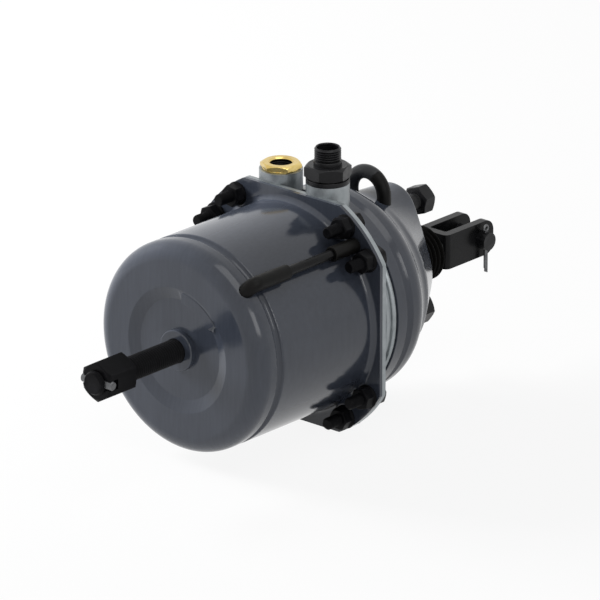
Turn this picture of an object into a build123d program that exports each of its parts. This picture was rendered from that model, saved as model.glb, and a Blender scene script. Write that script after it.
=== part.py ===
from build123d import *
import math
import os

os.makedirs("parts", exist_ok=True)

# Combination air brake chamber: a service chamber with a clevis on its push rod,
# and a spring chamber behind it with its release bolt wound out.
# The origin is the centre of the mounting face. +X is the way the push rod comes
# out, +Z is up, where the air ports are, and the breather pipe is on the -Y side.
# All sizes are in millimetres. Front means towards +X, rear towards -X.

# ---------------------------------------------------------------- travel
service_stroke = 45.0
release_travel = 48.0
air_overtravel = 4.0

# ---------------------------------------------------------------- clearances
sliding_gap = 0.3
shaft_gap = 0.1
thread_gap = 0.1
seat_gap = 0.2
press_gap = 0.05
bolt_hole_gap = 0.4
pick_margin = 0.1

# ---------------------------------------------------------------- service housing
shell_radius = 70.0
shell_wall = 3.0
shell_spare = 34.0
shoulder_start = 59.0
shoulder_radius = 14.0
shoulder_angle = 50.0
dome_height = 33.0
dome_inset = 0.5
pad_flank_angle = 20.0
pad_ear_radius = 19.0
pad_edge_radius = 4.0
collar_radius = 27.0
collar_height = 2.0
rod_hole_radius = 14.0
rim_wall = 2.8
rim_bore = 68.2
lip_thickness = 2.3
lip_depth = 1.0
clamp_depth = 3.0
clamp_length = 1.6
clamp_slope_length = 2.0
clamp_runout = 3.7

# ---------------------------------------------------------------- mounting studs
stud_spacing = 76.2
stud_radius = 6.0
stud_shank_length = 17.0
stud_length = 32.0
stud_thread_radius = 5.8
stud_knurl_radius = 6.3
stud_head_radius = 9.5
stud_head_height = 4.0
stud_nut_flats = 18.0
stud_nut_height = 10.0
bracket_thickness = 19.0

# ---------------------------------------------------------------- centre housing
body_length = 18.2
body_radius = 68.4
ridge_radius = 70.3
ridge_round = 2.2
ridge_pitch = 6.5
ridge_inset = 1.7
spigot_land = 3.5
dish_depth = 8.5
dish_outer_radius = 60.0
dish_inner_radius = 50.0
web_thickness = 10.5
chamber_bore = 60.0
can_spigot_length = 7.5
hub_radius = 26.0
hub_length = 14.0
flange_plate = 3.3
flange_width = 151.8
flange_height = 155.4
flange_corner_radius = 88.0
flange_edge_radius = 3.0

# ---------------------------------------------------------------- flange fasteners
bolt_circle_radius = 80.4
bolt_pair_angle = 9.5
bolt_radius = 4.0
bolt_head_flats = 13.0
bolt_head_height = 5.3
bolt_stickout = 10.7
flange_nut_flats = 13.0
flange_nut_height = 8.0
flange_nut_collar_radius = 8.0
flange_nut_collar_height = 1.6
spot_face_radius = 8.8

# ---------------------------------------------------------------- air ports
port_inset = 7.0
port_rise = 6.3
port_boss_radius = 14.3
port_thread_radius = 10.0
port_thread_depth = 11.0
port_bore_radius = 7.2
passage_radius = 3.5
service_port_y = 23.9
service_passage_z = 48.0
brass_collar_height = 1.0
brass_collar_radius = 12.4
brass_hex_flats = 24.0
brass_hex_height = 3.5
spring_port_y = -16.3
spring_passage_z = 53.0
port_washer_height = 3.0
black_hex_flats = 27.0
black_hex_height = 9.0
black_hex_turn = 20.0
stub_collar_radius = 9.25
stub_collar_height = 3.0
stub_radius = 8.7
stub_height = 8.9

# ---------------------------------------------------------------- spring housing
can_radius = 70.5
can_wall = 2.7
can_length = 110.0
can_flange = 2.5
can_rim_radius = 12.0
can_root_radius = 4.0
groove_setback = 20.4
groove_radius = 2.75
groove_lip_radius = 1.5
recess_mouth_radius = 42.0
recess_floor_radius = 33.8
recess_depth = 2.8
recess_edge_radius = 2.0
recess_pad_radius = 31.0
recess_pad_start = 93.0
recess_pad_end = 145.0
recess_pad_corner = 3.0
recess_pad_slope = 35.0

# ---------------------------------------------------------------- release bolt
release_radius = 8.0
release_tip_chamfer = 1.0
release_stop_gap = 1.2
boss_radius = 13.75
boss_height = 4.3
boss_flange_radius = 20.0
boss_flange_height = 4.5
boss_edge_radius = 1.0
race_radius = 12.8
race_thickness = 8.0
race_neck_radius = 6.0
race_head_radius = 9.0
race_head_height = 3.5
release_nut_flats = 24.0
release_nut_turn = 30.0
release_nut_length = 25.0
release_nut_setback = 4.0
release_slot_width = 6.5
release_slot_depth = 7.5
release_pin_radius = 3.0
release_pin_length = 26.0
release_pin_setback = 6.0

# ---------------------------------------------------------------- spring piston
tube_radius = 16.0
tube_bore = 13.2
tube_flange_thickness = 2.7
tube_flange_bore = 9.5
tube_end_gap = 1.0
cap_thickness = 4.0
cap_spigot_length = 8.0
piston_setback = 50.0
piston_clearance = 1.0
piston_disc = 6.0
piston_skirt_length = 18.0
piston_skirt_wall = 8.0
piston_hub_radius = 20.0
piston_hub_setback = 2.0
guide_ring_inset = 3.0
guide_ring_width = 5.0
guide_ring_depth = 2.0
seal_width = 6.0
seal_depth = 4.0
seal_notch_depth = 3.0
bush_length = 11.0
bush_thickness = 2.4
tube_seal_width = 5.0
tube_seal_depth = 3.8
tube_seal_inset = 5.0
ring_section = 1.5
ring_setback = 3.5
power_wire_radius = 5.0
power_small_radius = 31.0
power_large_radius = 52.0
power_turns = 3.0

# ---------------------------------------------------------------- diaphragm and push rod
diaphragm_thickness = 3.0
bead_thickness = 2.7
plate_radius = 40.0
plate_thickness = 3.0
plate_rim_height = 2.0
plate_hub_radius = 14.0
plate_hub_height = 6.0
rod_radius = 8.0
rod_thread_radius = 7.0
rod_rivet_radius = 6.0
return_wire_radius = 2.1
return_small_radius = 22.0
return_large_radius = 35.0
return_turns = 6.0
bellows_crest_radius = 18.5
bellows_root_radius = 14.2
bellows_folds = 7
bellows_pitch = 4.0
bellows_wall = 1.2
bellows_collar_radius = 10.5
bellows_collar_length = 4.0
bellows_lip = 2.5
bellows_lip_thickness = 1.6

# ---------------------------------------------------------------- clevis
lock_nut_flats = 21.0
lock_nut_height = 5.0
clevis_gap = 14.0
clevis_thickness = 6.0
clevis_height = 24.0
clevis_bend_radius = 4.0
clevis_inner_bend_radius = 1.5
clevis_pin_distance = 35.5
clevis_ear = 12.0
clevis_ear_radius = 8.0
rod_end_recess = 0.5
pin_radius = 6.0
pin_head_radius = 9.0
pin_head_height = 4.0
pin_tail = 7.0
split_pin_inset = 3.5
split_pin_radius = 1.4
split_pin_eye_radius = 1.9
split_pin_eye_wire = 0.8
split_pin_long_leg = 22.0
split_pin_short_leg = 19.0
split_pin_slot = 0.3

# ---------------------------------------------------------------- breather pipe
pipe_standoff = 1.4
pipe_radius = 3.2
sleeve_radius = 5.0
sleeve_length = 23.0
sleeve_overlap = 7.0
sleeve_turn = 135.0
elbow_length = 33.0
elbow_setback = 11.0
elbow_bend_radius = 6.0
elbow_nipple_radius = 4.0

# ---------------------------------------------------------------- vent
vent_setback = 28.0
vent_half_spacing = 14.0
vent_tube_radius = 4.7
vent_bore = 3.0
vent_leg_top = 57.4
vent_leg_depth = 9.4
vent_hose_arc = 60.0

# ---------------------------------------------------------------- stations along X
rim_x = -service_stroke - shell_spare
shoulder_x = -shoulder_start
dome_x = -dome_height
lip_front_x = rim_x + lip_thickness
spigot_rear_x = lip_front_x + seat_gap
seat_x = spigot_rear_x + spigot_land
clamp_x = seat_x + bead_thickness
clamp_front_x = clamp_x + clamp_slope_length + clamp_length
dish_x = seat_x - dish_depth
web_x = dish_x - web_thickness
plate_front_x = rim_x - body_length
plate_rear_x = plate_front_x - flange_plate
flange_rear_x = plate_rear_x - can_flange
can_spigot_x = plate_rear_x - can_spigot_length
hub_x = web_x - hub_length
can_end_x = flange_rear_x - can_length
recess_x = can_end_x + recess_depth
can_floor_x = recess_x + can_wall
boss_front_x = can_floor_x + boss_flange_height
boss_rear_x = recess_x - boss_height
groove_x = can_end_x + groove_setback
tube_rear_x = boss_front_x + air_overtravel + tube_end_gap
tube_flange_x = tube_rear_x + tube_flange_thickness
race_x = tube_flange_x + sliding_gap
race_front_x = race_x + race_thickness
cap_front_x = dish_x
tube_front_x = cap_front_x - cap_thickness
piston_x = can_end_x + piston_setback
piston_front_x = piston_x + piston_skirt_length
release_nut_x = boss_rear_x - release_stop_gap - release_travel - release_nut_length
release_tip_x = release_nut_x - release_nut_setback
release_pin_x = release_tip_x + release_pin_setback
port_x = rim_x - port_inset
port_height = flange_height / 2 + port_rise
diaphragm_rear_x = dish_x + sliding_gap
push_plate_x = diaphragm_rear_x + diaphragm_thickness
push_plate_front_x = push_plate_x + plate_thickness
bellows_x = collar_height
bellows_front_x = bellows_x + bellows_folds * bellows_pitch
lock_nut_x = bellows_front_x + bellows_wall + sliding_gap
clevis_x = lock_nut_x + lock_nut_height
clevis_web_front_x = clevis_x + clevis_thickness
pin_x = clevis_x + clevis_pin_distance
vent_x = -vent_setback
elbow_x = can_end_x + elbow_setback

pipe_line_radius = can_radius + sleeve_radius + pipe_standoff

dome_radius = stud_spacing / 2 + pad_ear_radius - dome_inset
pad_centre_radius = pad_ear_radius + stud_spacing / 2 * math.sin(math.radians(pad_flank_angle))
rim_radius = rim_bore + rim_wall
can_bore = can_radius - can_wall
piston_radius = can_bore - piston_clearance
lip_bore = rim_bore - lip_depth
clamp_bore = rim_bore - clamp_depth
clevis_half_width = clevis_gap / 2 + clevis_thickness
bolt_angles = [corner + side * bolt_pair_angle for corner in (45, 135, 225, 315) for side in (-1, 1)]
bolt_spots = [
    (bolt_circle_radius * math.cos(math.radians(turn)), bolt_circle_radius * math.sin(math.radians(turn)))
    for turn in bolt_angles
]
stud_spots = [(0, stud_spacing / 2), (0, -stud_spacing / 2)]
sleeve_spot = (
    pipe_line_radius * math.cos(math.radians(sleeve_turn)),
    pipe_line_radius * math.sin(math.radians(sleeve_turn)),
)


# ---------------------------------------------------------------- shared outlines
def flange_outline():
    """Outline of the bolted joint: a rectangle with its corners cut by a circle."""
    with BuildSketch() as outline:
        Rectangle(flange_width, flange_height)
        Circle(flange_corner_radius, mode=Mode.INTERSECT)
        fillet(outline.vertices(), flange_edge_radius)
    return outline.sketch


def pad_outline(inset):
    """Oblong mounting pad: a round centre drawn out to an ear round each stud."""
    with BuildSketch() as outline:
        with BuildLine():
            CenterArc((0, 0), pad_centre_radius - inset, 0, 360)
            for spot in stud_spots:
                CenterArc(spot, pad_ear_radius - inset, 0, 360)
        make_hull()
    return outline.sketch


def shell_section():
    """Half section of the service housing from its rolled rim to the foot of its dome."""
    with BuildSketch() as section:
        with BuildLine():
            outside = Polyline(
                (rim_x, lip_bore),
                (rim_x, rim_radius),
                (clamp_x, rim_radius),
                (clamp_x + clamp_slope_length, rim_radius - clamp_depth),
                (clamp_front_x, rim_radius - clamp_depth),
                (clamp_front_x + clamp_runout, shell_radius),
                (shoulder_x, shell_radius),
            )
            shoulder = JernArc(outside @ 1, (1, 0), shoulder_radius, -shoulder_angle)
            waist = TangentArc(shoulder @ 1, (dome_x, dome_radius), tangent=shoulder % 1)
            inside = Polyline(
                (rim_x, lip_bore),
                (lip_front_x, lip_bore),
                (lip_front_x, rim_bore),
                (clamp_x, rim_bore),
                (clamp_x, clamp_bore),
                (clamp_front_x, clamp_bore),
                (clamp_front_x + clamp_runout, shell_radius - shell_wall),
                (shoulder_x, shell_radius - shell_wall),
            )
            inner_radius = shoulder_radius - shell_wall
            inner_shoulder = JernArc(inside @ 1, (1, 0), inner_radius, -shoulder_angle)
            inner_waist = TangentArc(
                inner_shoulder @ 1,
                (dome_x, dome_radius - shell_wall),
                tangent=inner_shoulder % 1,
            )
            Line(waist @ 1, inner_waist @ 1)
        make_face()
    return section.sketch


def can_section(inset):
    """Half section of the space inside the can's surface, moved in by inset."""
    bore = can_radius - inset
    end_x = can_end_x + inset
    floor_x = recess_x + inset
    with BuildSketch() as section:
        with BuildLine():
            Polyline(
                (plate_rear_x, 0),
                (plate_rear_x, bore),
                (end_x, bore),
                (end_x, recess_mouth_radius),
                (floor_x, recess_floor_radius),
                (floor_x, 0),
                close=True,
            )
        make_face()
        corner = section.vertices().sort_by(Axis.X).group_by(Axis.Y)[-1].sort_by(Axis.X)[0]
        fillet(corner, can_rim_radius - inset)
        lip_start = recess_floor_radius - pick_margin
        lip_end = recess_mouth_radius + pick_margin
        lip = section.vertices().filter_by_position(Axis.Y, lip_start, lip_end)
        fillet(lip, recess_edge_radius)
        with Locations((groove_x, can_radius)):
            Circle(groove_radius + inset, mode=Mode.SUBTRACT)
        reach = groove_radius + inset + groove_lip_radius
        mouth = section.vertices().filter_by_position(Axis.X, groove_x - reach, groove_x + reach)
        fillet(mouth, groove_lip_radius)
    return section.sketch


def ring_section_at(x_start, x_end, bore, radius):
    """Half section of a plain ring about the X axis."""
    with BuildSketch() as section:
        with Locations(((x_start + x_end) / 2, (bore + radius) / 2)):
            Rectangle(x_end - x_start, radius - bore)
    return section.sketch


def coil(start_x, end_x, start_radius, end_radius, turns, wire_radius):
    """Conical coil spring about the X axis, between the centres of its end turns."""
    length = end_x - start_x
    cone = math.degrees(math.atan2(end_radius - start_radius, abs(length)))
    way = (math.copysign(1, length), 0, 0)
    with BuildPart() as spring:
        with BuildLine() as centre_line:
            Helix(abs(length) / turns, abs(length), start_radius, (start_x, 0, 0), way, cone)
        with BuildSketch(Plane(centre_line.line @ 0, z_dir=centre_line.line % 0)):
            Circle(wire_radius)
        sweep(is_frenet=True)
    return spring.part


# ================================================================ service chamber
with BuildPart() as service_housing:
    with BuildSketch(Plane.YZ.offset(dome_x)):
        Circle(dome_radius)
    with BuildSketch(Plane.YZ):
        add(pad_outline(0))
    loft()
    fillet(service_housing.faces().sort_by(Axis.X)[-1].edges(), pad_edge_radius)
    with BuildSketch(Plane.YZ.offset(dome_x)):
        Circle(dome_radius - shell_wall)
    with BuildSketch(Plane.YZ.offset(-shell_wall)):
        add(pad_outline(shell_wall))
    loft(mode=Mode.SUBTRACT)
    with BuildSketch(Plane.XZ):
        add(shell_section())
    revolve(axis=Axis.X)
    with BuildSketch(Plane.YZ):
        Circle(collar_radius)
    extrude(amount=collar_height)
    with BuildSketch(Plane.YZ.offset(collar_height)):
        Circle(rod_hole_radius)
    extrude(amount=-collar_height - shell_wall, mode=Mode.SUBTRACT)
    with BuildSketch(Plane.YZ):
        with Locations(*stud_spots):
            Circle(stud_knurl_radius + press_gap)
    extrude(amount=-shell_wall, mode=Mode.SUBTRACT)
    with BuildSketch(Plane.XY.offset(vent_leg_top - vent_leg_depth)):
        with Locations((vent_x, -vent_half_spacing), (vent_x, vent_half_spacing)):
            Circle(vent_tube_radius + press_gap)
    extrude(amount=vent_leg_depth, mode=Mode.SUBTRACT)
service_housing.part.label = "service_housing"
export_step(service_housing.part, "parts/service_housing.step")

with BuildPart() as mounting_studs:
    with BuildSketch(Plane.YZ.offset(-shell_wall)):
        with Locations(*stud_spots):
            Circle(stud_head_radius)
    extrude(amount=-stud_head_height)
    with BuildSketch(Plane.YZ.offset(-shell_wall)):
        with Locations(*stud_spots):
            Circle(stud_knurl_radius)
    extrude(amount=shell_wall)
    with BuildSketch(Plane.YZ):
        with Locations(*stud_spots):
            Circle(stud_radius)
    extrude(amount=stud_shank_length)
    with BuildSketch(Plane.YZ.offset(stud_shank_length)):
        with Locations(*stud_spots):
            Circle(stud_thread_radius)
    extrude(amount=stud_length - stud_shank_length)
mounting_studs.part.label = "mounting_studs"
export_step(mounting_studs.part, "parts/mounting_studs.step")

with BuildPart() as stud_nuts:
    with BuildSketch(Plane.YZ.offset(bracket_thickness)):
        with Locations(*stud_spots):
            RegularPolygon(stud_nut_flats / 2, 6, major_radius=False)
            Circle(stud_thread_radius + thread_gap, mode=Mode.SUBTRACT)
    extrude(amount=stud_nut_height)
stud_nuts.part.label = "stud_nuts"
export_step(stud_nuts.part, "parts/stud_nuts.step")

with BuildPart() as diaphragm:
    slope = (dish_outer_radius - dish_inner_radius) / dish_depth
    side = math.hypot(1, slope)
    rear_radius = dish_outer_radius - sliding_gap * side
    front_radius = rear_radius - diaphragm_thickness * side + bead_thickness * slope
    front_drop = (clamp_x - push_plate_x) * slope
    with BuildSketch(Plane.XZ):
        with BuildLine():
            Polyline(
                (diaphragm_rear_x, 0),
                (diaphragm_rear_x, rear_radius - (seat_x - diaphragm_rear_x) * slope),
                (seat_x, rear_radius),
                (seat_x, rim_bore - sliding_gap),
                (clamp_x, rim_bore - sliding_gap),
                (clamp_x, front_radius),
                (push_plate_x, front_radius - front_drop),
                (push_plate_x, 0),
                close=True,
            )
        make_face()
    revolve(axis=Axis.X)
diaphragm.part.label = "diaphragm"
export_step(diaphragm.part, "parts/diaphragm.step")

with BuildPart() as push_plate:
    with BuildSketch(Plane.XZ):
        with BuildLine():
            Polyline(
                (push_plate_x, rod_rivet_radius + press_gap),
                (push_plate_x, plate_radius),
                (push_plate_front_x + plate_rim_height, plate_radius),
                (push_plate_front_x + plate_rim_height, plate_radius - plate_rim_height),
                (push_plate_front_x, plate_radius - plate_rim_height),
                (push_plate_front_x, plate_hub_radius),
                (push_plate_front_x + plate_hub_height, plate_hub_radius),
                (push_plate_front_x + plate_hub_height, rod_rivet_radius + press_gap),
                close=True,
            )
        make_face()
    revolve(axis=Axis.X)
push_plate.part.label = "push_plate"
export_step(push_plate.part, "parts/push_plate.step")

with BuildPart() as push_rod:
    with BuildSketch(Plane.YZ.offset(push_plate_x + sliding_gap)):
        Circle(rod_rivet_radius)
    extrude(amount=plate_thickness + plate_hub_height - sliding_gap)
    with BuildSketch(Plane.YZ.offset(push_plate_front_x + plate_hub_height)):
        Circle(rod_radius)
    extrude(amount=lock_nut_x - push_plate_front_x - plate_hub_height)
    with BuildSketch(Plane.YZ.offset(lock_nut_x)):
        Circle(rod_thread_radius)
    extrude(amount=lock_nut_height + clevis_thickness - rod_end_recess)
push_rod.part.label = "push_rod"
export_step(push_rod.part, "parts/push_rod.step")

with BuildPart() as return_spring:
    add(
        coil(
            -shell_wall - seat_gap - return_wire_radius,
            push_plate_front_x + seat_gap + return_wire_radius,
            return_small_radius,
            return_large_radius,
            return_turns,
            return_wire_radius,
        )
    )
return_spring.part.label = "return_spring"
export_step(return_spring.part, "parts/return_spring.step")

with BuildPart() as bellows:
    crests = []
    inner_crests = []
    for fold in range(bellows_folds):
        crest_x = bellows_x + (fold + 0.5) * bellows_pitch
        root_x = bellows_x + (fold + 1) * bellows_pitch
        crests.append((crest_x, bellows_crest_radius))
        inner_crests.append((crest_x, bellows_crest_radius - 2 * bellows_wall))
        if fold < bellows_folds - 1:
            crests.append((root_x, bellows_root_radius))
            inner_crests.append((root_x, bellows_root_radius - 2 * bellows_wall))
    neck_radius = rod_hole_radius - press_gap
    neck_bore = rod_hole_radius - 2 * bellows_wall
    with BuildSketch(Plane.XZ):
        with BuildLine():
            Polyline(
                (-shell_wall - bellows_lip_thickness, neck_bore),
                (-shell_wall - bellows_lip_thickness, rod_hole_radius + bellows_lip),
                (-shell_wall, rod_hole_radius + bellows_lip),
                (-shell_wall, neck_radius),
                (bellows_x, neck_radius),
                *crests,
                (bellows_front_x, bellows_root_radius),
                (bellows_front_x + bellows_wall, bellows_root_radius),
                (bellows_front_x + bellows_wall, rod_radius + press_gap),
                (bellows_front_x + bellows_wall - bellows_collar_length, rod_radius + press_gap),
                (bellows_front_x + bellows_wall - bellows_collar_length, bellows_collar_radius),
                (bellows_front_x, bellows_collar_radius),
                (bellows_front_x, bellows_root_radius - 2 * bellows_wall),
                *reversed(inner_crests),
                (bellows_x, neck_bore),
                close=True,
            )
        make_face()
    revolve(axis=Axis.X)
bellows.part.label = "bellows"
export_step(bellows.part, "parts/bellows.step")

# ================================================================ clevis
with BuildPart() as lock_nut:
    with BuildSketch(Plane.YZ.offset(lock_nut_x)):
        RegularPolygon(lock_nut_flats / 2, 6, major_radius=False)
        Circle(rod_thread_radius + thread_gap, mode=Mode.SUBTRACT)
    extrude(amount=lock_nut_height)
lock_nut.part.label = "lock_nut"
export_step(lock_nut.part, "parts/lock_nut.step")

with BuildPart() as clevis:
    strap_length = clevis_pin_distance + clevis_ear
    with BuildSketch(Plane.XY.offset(-clevis_height / 2)):
        with Locations((clevis_x + strap_length / 2, 0)):
            Rectangle(strap_length, 2 * clevis_half_width)
        with Locations((clevis_web_front_x + strap_length / 2, 0)):
            Rectangle(strap_length, clevis_gap, mode=Mode.SUBTRACT)
    extrude(amount=clevis_height)
    outer_bends = clevis.edges().filter_by(Axis.Z).group_by(Axis.X)[0]
    fillet(outer_bends, clevis_bend_radius)
    inner_bends = clevis.edges().filter_by(Axis.Z).filter_by_position(
        Axis.X, clevis_web_front_x - pick_margin, clevis_web_front_x + pick_margin
    )
    fillet(inner_bends, clevis_inner_bend_radius)
    ear_corners = clevis.edges().filter_by(Axis.Y).group_by(Axis.X)[-1]
    fillet(ear_corners, clevis_ear_radius)
    with BuildSketch(Plane.XZ.offset(-clevis_half_width)):
        with Locations((pin_x, 0)):
            Circle(pin_radius + shaft_gap)
    extrude(amount=2 * clevis_half_width, mode=Mode.SUBTRACT)
    with BuildSketch(Plane.YZ.offset(clevis_x)):
        Circle(rod_thread_radius + thread_gap)
    extrude(amount=clevis_thickness, mode=Mode.SUBTRACT)
clevis.part.label = "clevis"
export_step(clevis.part, "parts/clevis.step")

split_pin_y = -clevis_half_width - pin_tail + split_pin_inset
with BuildPart() as clevis_pin:
    with BuildSketch(Plane.XZ.offset(-clevis_half_width - sliding_gap)):
        with Locations((pin_x, 0)):
            Circle(pin_head_radius)
    extrude(amount=-pin_head_height)
    with BuildSketch(Plane.XZ.offset(-clevis_half_width - sliding_gap)):
        with Locations((pin_x, 0)):
            Circle(pin_radius)
    extrude(amount=2 * clevis_half_width + sliding_gap + pin_tail)
    with BuildSketch(Plane.XY.offset(-pin_radius)):
        with Locations((pin_x, split_pin_y)):
            Circle(split_pin_radius + press_gap)
    extrude(amount=2 * pin_radius, mode=Mode.SUBTRACT)
clevis_pin.part.label = "clevis_pin"
export_step(clevis_pin.part, "parts/clevis_pin.step")

with BuildPart() as split_pin:
    eye_z = pin_radius + split_pin_eye_radius + split_pin_eye_wire
    with BuildSketch(Plane.XY.offset(-split_pin_long_leg)):
        with Locations((pin_x, split_pin_y)):
            Circle(split_pin_radius)
    extrude(amount=split_pin_long_leg + pin_radius + split_pin_eye_wire)
    with BuildSketch(Plane.XY.offset(-split_pin_long_leg)):
        with Locations((pin_x - split_pin_radius, split_pin_y)):
            Rectangle(2 * split_pin_radius, 2 * split_pin_radius)
    extrude(amount=split_pin_long_leg - split_pin_short_leg, mode=Mode.SUBTRACT)
    with BuildSketch(Plane.XY.offset(-split_pin_long_leg)):
        with Locations((pin_x, split_pin_y)):
            Rectangle(split_pin_slot, 2 * split_pin_radius)
    extrude(amount=split_pin_long_leg - pin_radius, mode=Mode.SUBTRACT)
    with Locations(Location((pin_x, split_pin_y, eye_z), (90, 0, 0))):
        Torus(split_pin_eye_radius, split_pin_eye_wire)
split_pin.part.label = "split_pin"
export_step(split_pin.part, "parts/split_pin.step")

# ================================================================ centre housing
with BuildPart() as centre_housing:
    with BuildSketch(Plane.XY.offset(chamber_bore)):
        with Locations((port_x, service_port_y), (port_x, spring_port_y)):
            Circle(port_boss_radius)
    extrude(amount=port_height - chamber_bore)
    # the bosses overhang the rolled rim of the service housing, with a gap under them
    with BuildSketch(Plane.YZ.offset(rim_x - sliding_gap)):
        Circle(rim_radius + sliding_gap)
    extrude(amount=port_boss_radius, mode=Mode.SUBTRACT)
    with BuildSketch(Plane.YZ.offset(plate_rear_x)):
        add(flange_outline())
    extrude(amount=flange_plate)
    with BuildSketch(Plane.XZ):
        with BuildLine():
            Polyline(
                (can_spigot_x, chamber_bore),
                (can_spigot_x, can_bore - sliding_gap),
                (plate_rear_x, can_bore - sliding_gap),
                (plate_rear_x, body_radius),
                (rim_x - sliding_gap, body_radius),
                (rim_x - sliding_gap, lip_bore - sliding_gap),
                (spigot_rear_x, lip_bore - sliding_gap),
                (spigot_rear_x, rim_bore - sliding_gap),
                (seat_x, rim_bore - sliding_gap),
                (seat_x, dish_outer_radius),
                (dish_x, dish_inner_radius),
                (dish_x, tube_radius + sliding_gap),
                (hub_x, tube_radius + sliding_gap),
                (hub_x, hub_radius),
                (web_x, hub_radius),
                (web_x, chamber_bore),
                close=True,
            )
        make_face()
    revolve(axis=Axis.X)
    with BuildSketch(Plane.XZ):
        front_ridge_x = rim_x - sliding_gap - ridge_inset
        with Locations(
            (front_ridge_x, ridge_radius - ridge_round),
            (front_ridge_x - ridge_pitch, ridge_radius - ridge_round),
        ):
            Circle(ridge_round)
        with Locations((rim_x - sliding_gap + ridge_round, ridge_radius)):
            Rectangle(2 * ridge_round, 4 * ridge_round, mode=Mode.SUBTRACT)
    revolve(axis=Axis.X)
    with BuildSketch(Plane.XY.offset(port_height)):
        with Locations((port_x, service_port_y), (port_x, spring_port_y)):
            Circle(port_thread_radius + thread_gap)
    extrude(amount=-port_thread_depth, mode=Mode.SUBTRACT)
    with BuildSketch(Plane.XY.offset(port_height)):
        with Locations((port_x, service_port_y)):
            Circle(passage_radius)
    extrude(amount=service_passage_z - passage_radius - port_height, mode=Mode.SUBTRACT)
    with BuildSketch(Plane.XY.offset(port_height)):
        with Locations((port_x, spring_port_y)):
            Circle(passage_radius)
    extrude(amount=spring_passage_z - passage_radius - port_height, mode=Mode.SUBTRACT)
    with BuildSketch(Plane.YZ.offset(port_x)):
        with Locations((service_port_y, service_passage_z)):
            Circle(passage_radius)
    extrude(amount=seat_x - port_x, mode=Mode.SUBTRACT)
    with BuildSketch(Plane.YZ.offset(port_x)):
        with Locations((spring_port_y, spring_passage_z)):
            Circle(passage_radius)
    extrude(amount=web_x - port_x, mode=Mode.SUBTRACT)
    with BuildSketch(Plane.YZ.offset(plate_rear_x)):
        with Locations(*bolt_spots):
            Circle(bolt_radius + bolt_hole_gap)
    extrude(amount=flange_plate, mode=Mode.SUBTRACT)
    bush_bore = tube_radius + shaft_gap + bush_thickness + press_gap
    seal_x = dish_x - tube_seal_inset
    seal_bore = tube_radius + shaft_gap + tube_seal_depth + press_gap
    ring_x = can_spigot_x + ring_setback
    ring_bottom = can_bore - 2 * ring_section - sliding_gap
    ring_half_width = ring_section + press_gap
    with BuildSketch(Plane.XZ):
        add(ring_section_at(hub_x, hub_x + bush_length, 0, bush_bore))
        add(ring_section_at(seal_x - tube_seal_width, seal_x, 0, seal_bore))
        add(ring_section_at(ring_x - ring_half_width, ring_x + ring_half_width, ring_bottom, can_bore))
    revolve(axis=Axis.X, mode=Mode.SUBTRACT)
centre_housing.part.label = "centre_housing"
export_step(centre_housing.part, "parts/centre_housing.step")

with BuildPart() as tube_bush:
    with BuildSketch(Plane.XZ):
        add(ring_section_at(hub_x, hub_x + bush_length, tube_radius + shaft_gap, bush_bore - press_gap))
    revolve(axis=Axis.X)
tube_bush.part.label = "tube_bush"
export_step(tube_bush.part, "parts/tube_bush.step")

with BuildPart() as tube_seal:
    with BuildSketch(Plane.XZ):
        seal_rear_x = seal_x - tube_seal_width
        add(ring_section_at(seal_rear_x, seal_x, tube_radius + shaft_gap, seal_bore - press_gap))
    revolve(axis=Axis.X)
tube_seal.part.label = "tube_seal"
export_step(tube_seal.part, "parts/tube_seal.step")

with BuildPart() as flange_seal:
    with BuildSketch(Plane.XZ):
        with Locations((ring_x, ring_bottom + ring_section + press_gap)):
            Circle(ring_section)
    revolve(axis=Axis.X)
flange_seal.part.label = "flange_seal"
export_step(flange_seal.part, "parts/flange_seal.step")

with BuildPart() as flange_bolts:
    with BuildSketch(Plane.YZ.offset(plate_front_x)):
        with Locations(*bolt_spots):
            RegularPolygon(bolt_head_flats / 2, 6, major_radius=False)
    extrude(amount=bolt_head_height)
    with BuildSketch(Plane.YZ.offset(plate_front_x)):
        with Locations(*bolt_spots):
            Circle(bolt_radius)
    extrude(amount=flange_rear_x - flange_nut_height - bolt_stickout - plate_front_x)
flange_bolts.part.label = "flange_bolts"
export_step(flange_bolts.part, "parts/flange_bolts.step")

with BuildPart() as flange_nuts:
    with BuildSketch(Plane.YZ.offset(flange_rear_x)):
        with Locations(*bolt_spots):
            Circle(flange_nut_collar_radius)
            Circle(bolt_radius + thread_gap, mode=Mode.SUBTRACT)
    extrude(amount=-flange_nut_collar_height)
    with BuildSketch(Plane.YZ.offset(flange_rear_x)):
        with Locations(*bolt_spots):
            RegularPolygon(flange_nut_flats / 2, 6, major_radius=False)
            Circle(bolt_radius + thread_gap, mode=Mode.SUBTRACT)
    extrude(amount=-flange_nut_height)
flange_nuts.part.label = "flange_nuts"
export_step(flange_nuts.part, "parts/flange_nuts.step")

# ================================================================ air ports
with BuildPart() as port_fitting_brass:
    with BuildSketch(Plane.XY.offset(port_height)):
        with Locations((port_x, service_port_y)):
            Circle(brass_collar_radius)
    extrude(amount=brass_collar_height)
    with BuildSketch(Plane.XY.offset(port_height + brass_collar_height)):
        with Locations((port_x, service_port_y)):
            RegularPolygon(brass_hex_flats / 2, 6, major_radius=False)
    extrude(amount=brass_hex_height)
    with BuildSketch(Plane.XY.offset(port_height)):
        with Locations((port_x, service_port_y)):
            Circle(port_thread_radius)
    extrude(amount=seat_gap - port_thread_depth)
    with BuildSketch(Plane.XY.offset(port_height + brass_collar_height + brass_hex_height)):
        with Locations((port_x, service_port_y)):
            Circle(port_bore_radius)
    extrude(amount=-brass_collar_height - brass_hex_height - port_thread_depth, mode=Mode.SUBTRACT)
port_fitting_brass.part.label = "port_fitting_brass"
export_step(port_fitting_brass.part, "parts/port_fitting_brass.step")

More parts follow.
